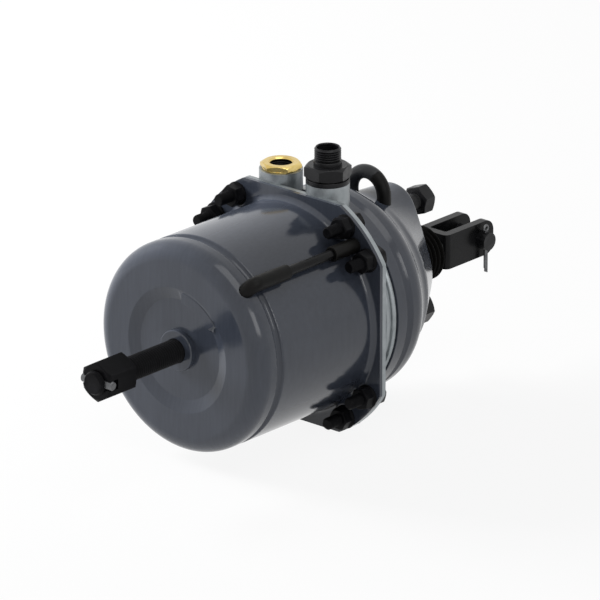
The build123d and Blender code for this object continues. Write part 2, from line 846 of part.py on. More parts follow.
with BuildPart() as port_washer:
    with BuildSketch(Plane.XY.offset(port_height)):
        with Locations((port_x, spring_port_y)):
            Circle(port_boss_radius)
            Circle(port_thread_radius + thread_gap, mode=Mode.SUBTRACT)
    extrude(amount=port_washer_height)
port_washer.part.label = "port_washer"
export_step(port_washer.part, "parts/port_washer.step")

black_hex_z = port_height + port_washer_height
stub_collar_z = black_hex_z + black_hex_height
stub_z = stub_collar_z + stub_collar_height
with BuildPart() as port_fitting_black:
    with BuildSketch(Plane.XY.offset(black_hex_z)):
        with Locations((port_x, spring_port_y)):
            RegularPolygon(black_hex_flats / 2, 6, major_radius=False, rotation=black_hex_turn)
    extrude(amount=black_hex_height)
    with BuildSketch(Plane.XY.offset(stub_collar_z)):
        with Locations((port_x, spring_port_y)):
            Circle(stub_collar_radius)
    extrude(amount=stub_collar_height)
    with BuildSketch(Plane.XY.offset(stub_z)):
        with Locations((port_x, spring_port_y)):
            Circle(stub_radius)
    extrude(amount=stub_height)
    with BuildSketch(Plane.XY.offset(black_hex_z)):
        with Locations((port_x, spring_port_y)):
            Circle(port_thread_radius)
    extrude(amount=seat_gap - port_thread_depth - port_washer_height)
    with BuildSketch(Plane.XY.offset(stub_z + stub_height)):
        with Locations((port_x, spring_port_y)):
            Circle(port_bore_radius)
    extrude(amount=port_height - port_thread_depth - stub_z - stub_height, mode=Mode.SUBTRACT)
port_fitting_black.part.label = "port_fitting_black"
export_step(port_fitting_black.part, "parts/port_fitting_black.step")

# ================================================================ spring chamber
breather_plane = Plane(
    origin=(0, 0, 0),
    x_dir=(1, 0, 0),
    z_dir=(0, -math.sin(math.radians(sleeve_turn)), math.cos(math.radians(sleeve_turn))),
)

with BuildPart() as spring_housing:
    with BuildSketch(Plane.XZ):
        add(can_section(0))
    revolve(axis=Axis.X)
    with BuildSketch(Plane.YZ.offset(flange_rear_x)):
        add(flange_outline())
    extrude(amount=can_flange)
    root = spring_housing.edges().filter_by(GeomType.CIRCLE).filter_by_position(
        Axis.X, flange_rear_x - pick_margin, flange_rear_x + pick_margin
    )
    fillet(root.sort_by(SortBy.LENGTH)[-1], can_root_radius)
    with BuildSketch(Plane.YZ.offset(flange_rear_x)):
        with Locations(*bolt_spots):
            Circle(spot_face_radius)
        with Locations(sleeve_spot):
            Circle(sleeve_radius + sliding_gap)
    extrude(amount=-2 * can_root_radius, mode=Mode.SUBTRACT)
    with BuildSketch(Plane.XZ):
        add(can_section(can_wall))
    revolve(axis=Axis.X, mode=Mode.SUBTRACT)
    with BuildSketch(Plane.YZ.offset(recess_x)) as recess_pad:
        Circle(recess_mouth_radius)
        Circle(recess_pad_radius, mode=Mode.SUBTRACT)
        with BuildLine():
            pad_start = PolarLine((0, 0), 2 * recess_mouth_radius, recess_pad_start)
            pad_end = PolarLine((0, 0), 2 * recess_mouth_radius, recess_pad_end)
            Line(pad_start @ 1, pad_end @ 1)
        make_face(mode=Mode.INTERSECT)
        fillet(recess_pad.vertices(), recess_pad_corner)
    extrude(amount=-recess_depth, taper=recess_pad_slope)
    with BuildSketch(Plane.YZ.offset(can_end_x)):
        Circle(boss_radius + press_gap)
    extrude(amount=recess_depth + can_wall, mode=Mode.SUBTRACT)
    with BuildSketch(Plane.YZ.offset(flange_rear_x)):
        with Locations(*bolt_spots):
            Circle(bolt_radius + bolt_hole_gap)
    extrude(amount=can_flange, mode=Mode.SUBTRACT)
    nipple_top = breather_plane.from_local_coords((elbow_x, can_radius, 0))
    with BuildSketch(Plane(nipple_top, z_dir=-breather_plane.y_dir)):
        Circle(elbow_nipple_radius + press_gap)
    extrude(amount=can_rim_radius, mode=Mode.SUBTRACT)
spring_housing.part.label = "spring_housing"
export_step(spring_housing.part, "parts/spring_housing.step")

with BuildPart() as release_boss:
    with BuildSketch(Plane.XZ):
        with BuildLine():
            Polyline(
                (boss_rear_x, release_radius + shaft_gap),
                (boss_rear_x, boss_radius),
                (can_floor_x, boss_radius),
                (can_floor_x, boss_flange_radius),
                (boss_front_x, boss_flange_radius),
                (boss_front_x, release_radius + shaft_gap),
                close=True,
            )
        make_face()
    revolve(axis=Axis.X)
    fillet(release_boss.edges().filter_by(GeomType.CIRCLE).group_by(Axis.X)[0][-1], boss_edge_radius)
release_boss.part.label = "release_boss"
export_step(release_boss.part, "parts/release_boss.step")

with BuildPart() as release_bolt:
    with BuildSketch(Plane.XZ):
        with BuildLine():
            Polyline(
                (release_tip_x, 0),
                (release_tip_x, release_radius - release_tip_chamfer),
                (release_tip_x + release_tip_chamfer, release_radius),
                (race_x - shaft_gap, release_radius),
                (race_x - shaft_gap, race_neck_radius),
                (race_front_x + shaft_gap, race_neck_radius),
                (race_front_x + shaft_gap, race_head_radius),
                (race_front_x + shaft_gap + race_head_height, race_head_radius),
                (race_front_x + shaft_gap + race_head_height, 0),
                close=True,
            )
        make_face()
    revolve(axis=Axis.X)
    with BuildSketch(Plane.XZ.offset(-release_radius)):
        with Locations((release_pin_x, 0)):
            Circle(release_pin_radius + press_gap)
    extrude(amount=2 * release_radius, mode=Mode.SUBTRACT)
release_bolt.part.label = "release_bolt"
export_step(release_bolt.part, "parts/release_bolt.step")

with BuildPart() as release_nut:
    with BuildSketch(Plane.YZ.offset(release_nut_x)):
        RegularPolygon(release_nut_flats / 2, 6, major_radius=False, rotation=release_nut_turn)
        Circle(release_radius + thread_gap, mode=Mode.SUBTRACT)
    extrude(amount=release_nut_length)
    with BuildSketch(Plane.YZ.offset(release_nut_x)):
        Rectangle(2 * release_nut_flats, release_slot_width)
    extrude(amount=release_slot_depth, mode=Mode.SUBTRACT)
release_nut.part.label = "release_nut"
export_step(release_nut.part, "parts/release_nut.step")

with BuildPart() as release_pin:
    with BuildSketch(Plane.XZ.offset(-release_pin_length / 2)):
        with Locations((release_pin_x, 0)):
            Circle(release_pin_radius)
    extrude(amount=release_pin_length)
release_pin.part.label = "release_pin"
export_step(release_pin.part, "parts/release_pin.step")

with BuildPart() as thrust_race:
    with BuildSketch(Plane.XZ):
        add(ring_section_at(race_x, race_front_x, race_neck_radius + shaft_gap, race_radius))
    revolve(axis=Axis.X)
thrust_race.part.label = "thrust_race"
export_step(thrust_race.part, "parts/thrust_race.step")

with BuildPart() as piston_tube:
    with BuildSketch(Plane.XZ):
        with BuildLine():
            Polyline(
                (tube_rear_x, tube_flange_bore),
                (tube_rear_x, tube_radius),
                (tube_front_x, tube_radius),
                (tube_front_x, tube_bore),
                (tube_flange_x, tube_bore),
                (tube_flange_x, tube_flange_bore),
                close=True,
            )
        make_face()
    revolve(axis=Axis.X)
piston_tube.part.label = "piston_tube"
export_step(piston_tube.part, "parts/piston_tube.step")

with BuildPart() as tube_cap:
    with BuildSketch(Plane.YZ.offset(tube_front_x)):
        Circle(tube_radius)
    extrude(amount=cap_thickness)
    with BuildSketch(Plane.YZ.offset(tube_front_x)):
        Circle(tube_bore - press_gap)
    extrude(amount=-cap_spigot_length)
tube_cap.part.label = "tube_cap"
export_step(tube_cap.part, "parts/tube_cap.step")

guide_ring_x = piston_x + guide_ring_inset
guide_ring_front_x = guide_ring_x + guide_ring_width
seal_rear_x = piston_front_x - seal_width
with BuildPart() as spring_piston:
    with BuildSketch(Plane.XZ):
        with BuildLine():
            Polyline(
                (tube_rear_x + piston_hub_setback, tube_radius + press_gap),
                (tube_rear_x + piston_hub_setback, piston_hub_radius),
                (piston_x, piston_hub_radius),
                (piston_x, piston_radius),
                (guide_ring_x, piston_radius),
                (guide_ring_x, piston_radius - guide_ring_depth),
                (guide_ring_front_x, piston_radius - guide_ring_depth),
                (guide_ring_front_x, piston_radius),
                (seal_rear_x, piston_radius),
                (seal_rear_x, piston_radius - seal_depth),
                (piston_front_x, piston_radius - seal_depth),
                (piston_front_x, piston_radius - piston_skirt_wall),
                (piston_x + piston_disc, piston_radius - piston_skirt_wall),
                (piston_x + piston_disc, piston_hub_radius),
                (piston_front_x, piston_hub_radius),
                (piston_front_x, tube_radius + press_gap),
                close=True,
            )
        make_face()
    revolve(axis=Axis.X)
spring_piston.part.label = "spring_piston"
export_step(spring_piston.part, "parts/spring_piston.step")

with BuildPart() as guide_ring:
    with BuildSketch(Plane.XZ):
        add(
            ring_section_at(
                guide_ring_x + press_gap,
                guide_ring_front_x - press_gap,
                piston_radius - guide_ring_depth + press_gap,
                can_bore - sliding_gap,
            )
        )
    revolve(axis=Axis.X)
guide_ring.part.label = "guide_ring"
export_step(guide_ring.part, "parts/guide_ring.step")

with BuildPart() as piston_seal:
    seal_bottom = piston_radius - seal_depth + press_gap
    seal_top = can_bore - sliding_gap
    with BuildSketch(Plane.XZ):
        with BuildLine():
            Polyline(
                (seal_rear_x + press_gap, seal_bottom),
                (seal_rear_x + press_gap, piston_radius),
                (piston_front_x - seal_notch_depth, seal_top),
                (piston_front_x, seal_top),
                (piston_front_x - seal_notch_depth, (seal_bottom + seal_top) / 2),
                (piston_front_x, seal_bottom),
                close=True,
            )
        make_face()
    revolve(axis=Axis.X)
piston_seal.part.label = "piston_seal"
export_step(piston_seal.part, "parts/piston_seal.step")

with BuildPart() as power_spring:
    add(
        coil(
            can_floor_x + seat_gap + power_wire_radius,
            piston_x - seat_gap - power_wire_radius,
            power_small_radius,
            power_large_radius,
            power_turns,
            power_wire_radius,
        )
    )
power_spring.part.label = "power_spring"
export_step(power_spring.part, "parts/power_spring.step")

# ================================================================ breather
elbow_front_x = elbow_x + elbow_length
sleeve_rear_x = flange_rear_x - sleeve_length
pipe_rear_x = elbow_front_x - sleeve_overlap
pipe_front_x = sleeve_rear_x + sleeve_overlap

with BuildPart() as breather_pipe:
    with BuildSketch(Plane.YZ.offset(pipe_rear_x)):
        with Locations(sleeve_spot):
            Circle(pipe_radius)
    extrude(amount=pipe_front_x - pipe_rear_x)
breather_pipe.part.label = "breather_pipe"
export_step(breather_pipe.part, "parts/breather_pipe.step")

with BuildPart() as breather_sleeve:
    with BuildSketch(Plane.YZ.offset(sleeve_rear_x)):
        with Locations(sleeve_spot):
            Circle(sleeve_radius)
    extrude(amount=sleeve_length)
    with BuildSketch(Plane.YZ.offset(sleeve_rear_x)):
        with Locations(sleeve_spot):
            Circle(pipe_radius + press_gap)
    extrude(amount=sleeve_overlap + seat_gap, mode=Mode.SUBTRACT)
breather_sleeve.part.label = "breather_sleeve"
export_step(breather_sleeve.part, "parts/breather_sleeve.step")

with BuildPart() as breather_elbow:
    with BuildLine(breather_plane) as elbow_path:
        FilletPolyline(
            (elbow_front_x, pipe_line_radius),
            (elbow_x, pipe_line_radius),
            (elbow_x, can_bore),
            radius=elbow_bend_radius,
        )
    with BuildSketch(Plane(elbow_path.line @ 0, z_dir=elbow_path.line % 0)):
        Circle(sleeve_radius)
    sweep()
    with BuildSketch(Plane.XZ):
        add(can_section(-seat_gap))
    revolve(axis=Axis.X, mode=Mode.SUBTRACT)
    elbow_foot = breather_plane.from_local_coords((elbow_x, pipe_line_radius - sleeve_radius, 0))
    with BuildSketch(Plane(elbow_foot, z_dir=-breather_plane.y_dir)):
        Circle(elbow_nipple_radius)
    extrude(amount=pipe_line_radius - sleeve_radius - can_bore + can_wall)
    with BuildSketch(Plane.YZ.offset(elbow_front_x)):
        with Locations(sleeve_spot):
            Circle(pipe_radius + press_gap)
    extrude(amount=-sleeve_overlap - seat_gap, mode=Mode.SUBTRACT)
breather_elbow.part.label = "breather_elbow"
export_step(breather_elbow.part, "parts/breather_elbow.step")

# ================================================================ vent
with BuildPart() as vent_hose:
    with BuildLine(Plane.YZ.offset(vent_x)) as hose_path:
        hose_foot = (-vent_half_spacing, vent_leg_top - vent_leg_depth)
        hose_leg = Line(hose_foot, (-vent_half_spacing, vent_leg_top))
        JernArc(hose_leg @ 1, (0, 1), vent_half_spacing, -vent_hose_arc)
    with BuildSketch(Plane.XY.offset(vent_leg_top - vent_leg_depth)):
        with Locations((vent_x, -vent_half_spacing)):
            Circle(vent_tube_radius)
            Circle(vent_bore, mode=Mode.SUBTRACT)
    sweep()
vent_hose.part.label = "vent_hose"
export_step(vent_hose.part, "parts/vent_hose.step")

with BuildPart() as vent_elbow:
    with BuildLine(Plane.YZ.offset(vent_x)) as elbow_line:
        elbow_leg_foot = (vent_half_spacing, vent_leg_top - vent_leg_depth)
        elbow_leg = Line(elbow_leg_foot, (vent_half_spacing, vent_leg_top))
        JernArc(elbow_leg @ 1, (0, 1), vent_half_spacing, 180 - vent_hose_arc)
    with BuildSketch(Plane.XY.offset(vent_leg_top - vent_leg_depth)):
        with Locations((vent_x, vent_half_spacing)):
            Circle(vent_tube_radius)
            Circle(vent_bore, mode=Mode.SUBTRACT)
    sweep()
vent_elbow.part.label = "vent_elbow"
export_step(vent_elbow.part, "parts/vent_elbow.step")
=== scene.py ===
"""Air brake chamber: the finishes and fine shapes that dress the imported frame.

Sizes in the classes are in millimetres, in the frame's own axes: the origin is the
centre of the mounting face, +X is the way the push rod comes out and +Z is up.
"""

from __future__ import annotations

import logging
import math
from collections.abc import Sequence
from dataclasses import dataclass, replace
from enum import Enum

import bmesh
import bpy
from bmesh.types import BMEdge, BMesh
from mathutils import Matrix, Vector


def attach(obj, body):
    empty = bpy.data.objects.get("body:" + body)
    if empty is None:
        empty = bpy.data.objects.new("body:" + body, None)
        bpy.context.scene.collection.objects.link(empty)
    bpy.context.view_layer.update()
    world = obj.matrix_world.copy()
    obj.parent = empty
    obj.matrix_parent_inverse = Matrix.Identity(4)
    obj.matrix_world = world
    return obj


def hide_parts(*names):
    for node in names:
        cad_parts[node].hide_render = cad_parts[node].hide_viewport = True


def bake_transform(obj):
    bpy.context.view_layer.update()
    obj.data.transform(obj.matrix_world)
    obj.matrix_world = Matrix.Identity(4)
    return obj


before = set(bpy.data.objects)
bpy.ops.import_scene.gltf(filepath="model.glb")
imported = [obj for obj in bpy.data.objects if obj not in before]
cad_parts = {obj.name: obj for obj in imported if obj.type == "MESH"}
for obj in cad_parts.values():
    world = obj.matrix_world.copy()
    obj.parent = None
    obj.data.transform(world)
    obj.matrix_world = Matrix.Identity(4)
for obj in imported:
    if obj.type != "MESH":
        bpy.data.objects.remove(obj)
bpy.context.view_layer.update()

log = logging.getLogger("air_brake_chamber")

Point = tuple[float, float]
Span = tuple[float, float]
Colour = tuple[float, float, float, float]

MM = 0.001
X_AXIS = Vector((1, 0, 0))
WHITE: Colour = (1.0, 1.0, 1.0, 1.0)
# Facets round a turned shape, a thread and a spring, and round the spring's wire.
STEPS = 96
THREAD_STEPS = 40
COIL_STEPS = 48
WIRE_SIDES = 14
# How near two places are when they count as one: in a mesh, on a cut and along a thread.
MERGE_MM = 0.0005
CUT_MM = 0.0001
NEAR_MM = 0.01
# A thread's depth as a share of its pitch, and the gap between it and its nut.
THREAD_DEPTH = 0.4
THREAD_GAP = 0.1
# The flat end of a hexagon as a share of its size across flats, and the slope of its cone.
HEX_END = 0.955
HEX_SLOPE = math.tan(math.radians(30))
HEX_CONE_STEPS = 6
# The range of the slow noise that changes tone and gloss, and of the turns that lighten an edge, partly
# as wear and partly as a painted highlight.
TONE_SPAN = (0.34, 0.66)
GLOSS_SPAN = (0.3, 0.7)
WEAR_AND_HIGHLIGHT_SPAN = (0.52, 0.62)


class Body(str, Enum):
    """The bodies of the frame that carry the pieces made here."""

    HOUSING = "housing"
    PUSH_ROD = "push_rod"
    CLEVIS_PIN = "clevis_pin"
    RELEASE_BOLT = "release_bolt"
    SPRING_PISTON = "spring_piston"


class Slot(str, Enum):
    """The material slots of the record."""

    PAINTED_STEEL = "painted_steel"
    BLACK_STEEL = "black_steel"
    ZINC_STEEL = "zinc_steel"
    ALUMINIUM = "aluminium"
    BRASS = "brass"
    RUBBER = "rubber"
    PLASTIC = "moulded_plastic"
    SPRING_STEEL = "spring_steel"
    BRIGHT_STEEL = "bright_steel"
    BRONZE = "bronze"


# ---------------------------------------------------------------- finishes
def linear(hex_code: str) -> Colour:
    """Turn an sRGB colour such as "#4a4f5a" into linear light.

    Args:
        hex_code: Six hexadecimal digits after a number sign.

    Returns:
        Red, green, blue and an alpha of 1.
    """
    parts = [int(hex_code[place : place + 2], 16) / 255 for place in (1, 3, 5)]
    light = [c / 12.92 if c <= 0.04045 else ((c + 0.055) / 1.055) ** 2.4 for c in parts]
    return light[0], light[1], light[2], 1.0


def add_node(
    tree: bpy.types.NodeTree,
    kind: str,
    inputs: dict[str | int, object] | None = None,
    **settings: object,
) -> bpy.types.Node:
    """Add a shader node with its settings, values and links.

    Args:
        tree: The material's or world's tree.
        kind: The node's type, such as "ShaderNodeTexNoise".
        inputs: For each input socket, an output socket to link or a plain value.
        **settings: Properties of the node itself.

    Returns:
        The new node.
    """
    node = tree.nodes.new(kind)
    for name, value in settings.items():
        setattr(node, name, value)
    for socket, value in (inputs or {}).items():
        if isinstance(value, bpy.types.NodeSocket):
            tree.links.new(value, node.inputs[socket])
        else:
            node.inputs[socket].default_value = value
    return node


@dataclass(frozen=True)
class Finish:
    """How one material looks: its colours, gloss and the grain of its surface.

    The patches are slow changes of tone, and the grain is what the finger feels.
    The fleck is how far the grain shows in the tone too.
    """

    name: str
    slot: Slot
    colour: str
    tone: str
    metallic: float
    gloss_rough: float
    dull_rough: float
    patch_mm: float
    grain_mm: float
    grain_depth_mm: float
    stretch: tuple[float, float, float] = (1.0, 1.0, 1.0)
    fleck: float = 0.0
    specular: float = 0.5
    # The edge colour lightens sharp edges: partly wear, partly a painted highlight.
    edge: str = ""
    edge_share: float = 0.0

    def material(self) -> bpy.types.Material:
        """Return this finish as a material, made on first use."""
        found = bpy.data.materials.get(self.name)
        return found or self._build()

    def _build(self) -> bpy.types.Material:
        """Make the node tree of the finish.

        Returns:
            The new material.
        """
        material = bpy.data.materials.new(self.name)
        material.use_nodes = True
        tree = material.node_tree
        tree.nodes.clear()
        place = add_node(tree, "ShaderNodeTexCoord").outputs["Object"]
        run = add_node(
            tree, "ShaderNodeMapping", {"Vector": place, "Scale": self.stretch}
        ).outputs["Vector"]
        patches = add_node(
            tree,
            "ShaderNodeTexNoise",
            {"Vector": run, "Scale": 1 / (self.patch_mm * MM), "Detail": 5.0, "Roughness": 0.6},
        ).outputs["Fac"]
        contrast = add_node(
            tree,
            "ShaderNodeMapRange",
            {"Value": patches, "From Min": TONE_SPAN[0], "From Max": TONE_SPAN[1]},
            clamp=True,
        ).outputs["Result"]
        grain = add_node(
            tree,
            "ShaderNodeTexNoise",
            {"Vector": run, "Scale": 1 / (self.grain_mm * MM), "Detail": 3.0, "Roughness": 0.55},
        ).outputs["Fac"]
        flecked = add_node(
            tree, "ShaderNodeMix", {"Factor": self.fleck, 2: contrast, 3: grain}, data_type="FLOAT"
        ).outputs[0]
        tone = add_node(
            tree,
            "ShaderNodeMix",
            {"Factor": flecked, 6: linear(self.colour), 7: linear(self.tone)},
            data_type="RGBA",
        ).outputs[2]
        if self.edge_share > 0:
            # Lighten sharp edges: partly wear, partly a painted highlight.
            tone = self._worn_and_highlit_edges(tree, tone, patches)
        rough = add_node(
            tree,
            "ShaderNodeMapRange",
            {"Value": patches, "From Min": GLOSS_SPAN[0], "From Max": GLOSS_SPAN[1],
             "To Min": self.gloss_rough, "To Max": self.dull_rough},
            clamp=True,
        ).outputs["Result"]
        bump = add_node(
            tree,
            "ShaderNodeBump",
            {"Height": grain, "Distance": self.grain_depth_mm * MM, "Strength": 1.0},
        ).outputs["Normal"]
        shader = add_node(
            tree,
            "ShaderNodeBsdfPrincipled",
            {"Base Color": tone, "Roughness": rough, "Normal": bump, "Metallic": self.metallic},
        )
        if self.metallic == 0:
            shader.inputs["Specular IOR Level"].default_value = self.specular
        add_node(tree, "ShaderNodeOutputMaterial", {"Surface": shader.outputs["BSDF"]})
        return material

    def _worn_and_highlit_edges(
        self,
        tree: bpy.types.NodeTree,
        tone: bpy.types.NodeSocket,
        patches: bpy.types.NodeSocket,
    ) -> bpy.types.NodeSocket:
        """Lighten the finish to its edge colour where the surface turns sharply: partly wear, partly a
        painted highlight along the edges.

        Args:
            tree: The material's tree.
            tone: The colour so far.
            patches: The slow noise, which breaks up the lightened edges.

        Returns:
            The colour with its edges lightened, partly worn and partly painted highlight.
        """
        turn = add_node(tree, "ShaderNodeNewGeometry").outputs["Pointiness"]
        sharp = add_node(
            tree,
            "ShaderNodeMapRange",
            {"Value": turn, "From Min": WEAR_AND_HIGHLIGHT_SPAN[0], "From Max": WEAR_AND_HIGHLIGHT_SPAN[1],
             "To Max": self.edge_share},
            clamp=True,
        ).outputs["Result"]
        broken = add_node(
            tree, "ShaderNodeMath", {0: sharp, 1: patches}, operation="MULTIPLY", use_clamp=True
        ).outputs["Value"]
        return add_node(
            tree,
            "ShaderNodeMix",
            {"Factor": broken, 6: tone, 7: linear(self.edge)},
            data_type="RGBA",
        ).outputs[2]


# Stoved enamel on pressed steel: a smooth dark blue-grey coat, faintly streaked where it ran, with its
# sharp edges lightened as a painted highlight.
ENAMEL = Finish(
    "stoved_enamel", Slot.PAINTED_STEEL, "#343943", "#484d58", 0.0, 0.11, 0.19, 60, 2.0, 0.004,
    stretch=(0.5, 1.0, 0.10), fleck=0.6, specular=0.45, edge="#6b717d", edge_share=0.3,
)
# Phosphated steel: nearly black, matt and faintly crystalline, a little lighter on its sharp edges,
# partly rubbed and partly a painted highlight.
PHOSPHATE = Finish(
    "phosphated_steel", Slot.BLACK_STEEL, "#101012", "#1b1b1d", 0.0, 0.26, 0.44, 5, 0.35, 0.006,
    specular=0.22, edge="#4a4a4d", edge_share=0.4,
)
# Black oxide on the bolts, left oily: the deepest black, with hardly any shine.
BLACK_OXIDE = Finish(
    "black_oxide_steel", Slot.BLACK_STEEL, "#08080a", "#111113", 0.0, 0.32, 0.50, 5, 0.35, 0.006,
    specular=0.07, edge="#3c3c3f", edge_share=0.35,
)
# Black enamel on the forged and bent fittings: smoother than phosphate, with soft highlights.
BLACK_ENAMEL = Finish(
    "black_enamel", Slot.BLACK_STEEL, "#0b0b0c", "#151516", 0.0, 0.22, 0.36, 12, 0.8, 0.004,
    specular=0.13, edge="#48484b", edge_share=0.3,
)
# Zinc plate passivated black, on the flange bolts: it looks like the oxide on the nuts.
BLACK_ZINC = replace(BLACK_OXIDE, name="black_zinc_plate", slot=Slot.ZINC_STEEL)
# Zinc-plated steel gone dull: grey, with cloudy roughness.
DULL_ZINC = Finish(
    "dull_zinc_plate", Slot.ZINC_STEEL, "#545557", "#6f7071", 0.9, 0.32, 0.52, 4, 0.3, 0.006,
    edge="#a3a4a6", edge_share=0.4,
)
# Die-cast aluminium: pale grey with a fine cast skin.
CAST_ALUMINIUM = Finish(
    "cast_aluminium", Slot.ALUMINIUM, "#8a9092", "#a4a9ac", 0.8, 0.34, 0.50, 7, 0.5, 0.014,
    fleck=0.2,
)
# Turned brass: warm yellow with a light tarnish.
BRASS = Finish(
    "turned_brass", Slot.BRASS, "#e2c981", "#c9aa5c", 1.0, 0.18, 0.28, 14, 0.4, 0.0015,
    edge="#f0e2b4", edge_share=0.2,
)
# Painted shade for a tapped bore: a near-black coat between the threads that stands for the shade deep in
# the bore.
BORE_SHADE = Finish(
    "painted_bore_shade", Slot.BRASS, "#050505", "#0c0b0a", 0.0, 0.35, 0.55, 2, 0.3, 0.010, specular=0.2,
)
# Moulded rubber: black with a brown cast, matt, with a bloom in patches.
RUBBER = Finish(
    "moulded_rubber", Slot.RUBBER, "#0b0b0a", "#151413", 0.0, 0.38, 0.56, 9, 0.6, 0.010,
    specular=0.12,
)
# Dark grey polyamide: the vent's elbow, with a fine moulded grain.
POLYAMIDE = Finish(
    "grey_polyamide", Slot.PLASTIC, "#18191b", "#232426", 0.0, 0.34, 0.50, 8, 0.5, 0.008,
    specular=0.3,
)
# Black polyamide: the breather's pipe, drawn smooth.
BLACK_POLYAMIDE = replace(BLACK_ENAMEL, name="black_polyamide", slot=Slot.PLASTIC, edge_share=0.0)
# Oiled spring wire: dark, smooth and drawn along its length.
SPRING_WIRE = Finish(
    "oiled_spring_wire", Slot.SPRING_STEEL, "#3a3b3e", "#4b4c50", 0.9, 0.25, 0.40, 4, 0.3, 0.004,
)
# Ground steel: the bright tube and race.
GROUND_STEEL = Finish(
    "ground_steel", Slot.BRIGHT_STEEL, "#a4a6a9", "#b8babd", 1.0, 0.12, 0.22, 5, 0.2, 0.002,
)
# Sintered bronze: porous and brown.
SINTERED_BRONZE = Finish(
    "sintered_bronze", Slot.BRONZE, "#96703c", "#ab8450", 0.85, 0.40, 0.60, 3, 0.25, 0.015,
)


# ---------------------------------------------------------------- building meshes
def upright(x: float, y: float) -> Matrix:
    """Stand a part that was made along X up along Z, at a place on the plan."""
    return Matrix.Translation((x, y, 0)) @ Matrix.Rotation(-math.pi / 2, 4, "Y")


def along(x: float, y: float, z: float, turn: float = 0.0) -> Matrix:
    """Move a part that was made along X, and turn it about its own axis by degrees."""
    return Matrix.Translation((x, y, z)) @ Matrix.Rotation(math.radians(turn), 4, "X")


def merge(bm: BMesh, part: BMesh, places: Sequence[Matrix] = ()) -> None:
    """Add a mesh to another, once or at several places, and free it.

    Args:
        bm: The mesh that grows.
        part: The mesh that is added.
        places: Where it goes, or nothing to leave it where it is.
    """
    for place in places or (Matrix.Identity(4),):
        mesh = bpy.data.meshes.new("part")
        part.to_mesh(mesh)
        mesh.transform(place)
        bm.from_mesh(mesh)
        bpy.data.meshes.remove(mesh)
    part.free()


def lathe(bm: BMesh, section: Sequence[Point], closed: bool = True, steps: int = STEPS) -> None:
    """Spin a half section about the X axis.

    Args:
        bm: The mesh that gains the turned shape.
        section: Points along the axis and out from it.
        closed: Whether the last point joins the first, as on a ring.
        steps: How many facets go round.
    """
    part = bmesh.new()
    verts = [part.verts.new((x, 0, radius)) for x, radius in section]
    ends = list(zip(verts, verts[1:] + verts[:1])) if closed else list(zip(verts, verts[1:]))
    edges = [part.edges.new(pair) for pair in ends]
    bmesh.ops.spin(
        part, geom=verts + edges, cent=(0, 0, 0), axis=X_AXIS, dvec=(0, 0, 0),
        angle=math.tau, steps=steps, use_merge=True, use_duplicate=False,
    )
    bmesh.ops.remove_doubles(part, verts=part.verts, dist=MERGE_MM)
    bmesh.ops.recalc_face_normals(part, faces=part.faces)
    merge(bm, part)


def disc(bm: BMesh, start: float, end: float, radius: float, steps: int) -> None:
    """Add a plain round bar about the X axis, closed at both ends.

    Args:
        bm: The mesh.
        start: Where the bar begins along the axis.
        end: Where it ends.
        radius: Its radius.
        steps: How many facets go round.
    """
    lathe(bm, [(start, 0), (start, radius), (end, radius), (end, 0)], closed=False, steps=steps)


def slice_at(
    bm: BMesh,
    place: tuple[float, float, float],
    outwards: tuple[float, float, float],
    clear: bool = False,
) -> list[BMEdge]:
    """Cut every face of a mesh along a plane.

    Args:
        bm: The mesh.
        place: A point on the plane.
        outwards: The plane's normal.
        clear: Whether what lies outwards of the plane is taken away.

    Returns:
        The edges that lie in the plane.
    """
    cut = bmesh.ops.bisect_plane(
        bm, geom=bm.verts[:] + bm.edges[:] + bm.faces[:], dist=CUT_MM,
        plane_co=place, plane_no=outwards, clear_outer=clear,
    )
    return [item for item in cut["geom_cut"] if isinstance(item, BMEdge)]


def hex_cone(flats: float) -> list[Point]:
    """Work out the cone that is turned on a hexagon's end.

    Args:
        flats: The hexagon's size across flats.

    Returns:
        For each ring from the end face to the corners, its depth and its radius.
    """
    corner = flats / math.sqrt(3)
    end = flats / 2 * HEX_END
    radii = [end + (corner - end) * step / HEX_CONE_STEPS for step in range(HEX_CONE_STEPS + 1)]
    return [((radius - end) * HEX_SLOPE, radius) for radius in radii]


def clip_to_hexagon(bm: BMesh, flats: float, start: float, end: float) -> None:
    """Bring what stands outside a hexagonal bar about the X axis back to its flats.

    Args:
        bm: The mesh.
        flats: The hexagon's size across flats; two of its corners lie along Z.
        start: Where the bar begins along the axis.
        end: Where it ends.
    """
    for vert in bm.verts:
        radius = math.hypot(vert.co.y, vert.co.z)
        angle = math.degrees(math.atan2(vert.co.z, vert.co.y))
        limit = flats / 2 / math.cos(math.radians((angle - 30) % 60 - 30))
        if radius > limit and start <= vert.co.x <= end:
            vert.co.y *= limit / radius
            vert.co.z *= limit / radius


def hexagon(
    start: float,
    end: float,
    flats: float,
    bore: float,
    front_cone: bool = True,
    rear_cone: bool = True,
) -> BMesh:
    """Make a hexagonal bar about the X axis with the cones of a nut or head.

    Args:
        start: Where it begins along the axis.
        end: Where it ends.
        flats: Its size across flats.
        bore: The hole's radius, or 0 for a solid bar.
        front_cone: Whether its +X end is turned to a cone.
        rear_cone: Whether its -X end is.

    Returns:
        The mesh.
    """
    corner = flats / math.sqrt(3)
    cone = hex_cone(flats)
    rear = [(start + x, radius) for x, radius in cone] if rear_cone else [(start, corner)]
    front = [(end - x, radius) for x, radius in reversed(cone)] if front_cone else [(end, corner)]
    part = bmesh.new()
    lathe(part, [(start, bore), *rear, *front, (end, bore)], closed=bore > 0)
    clip_to_hexagon(part, flats, start, end)
    return part


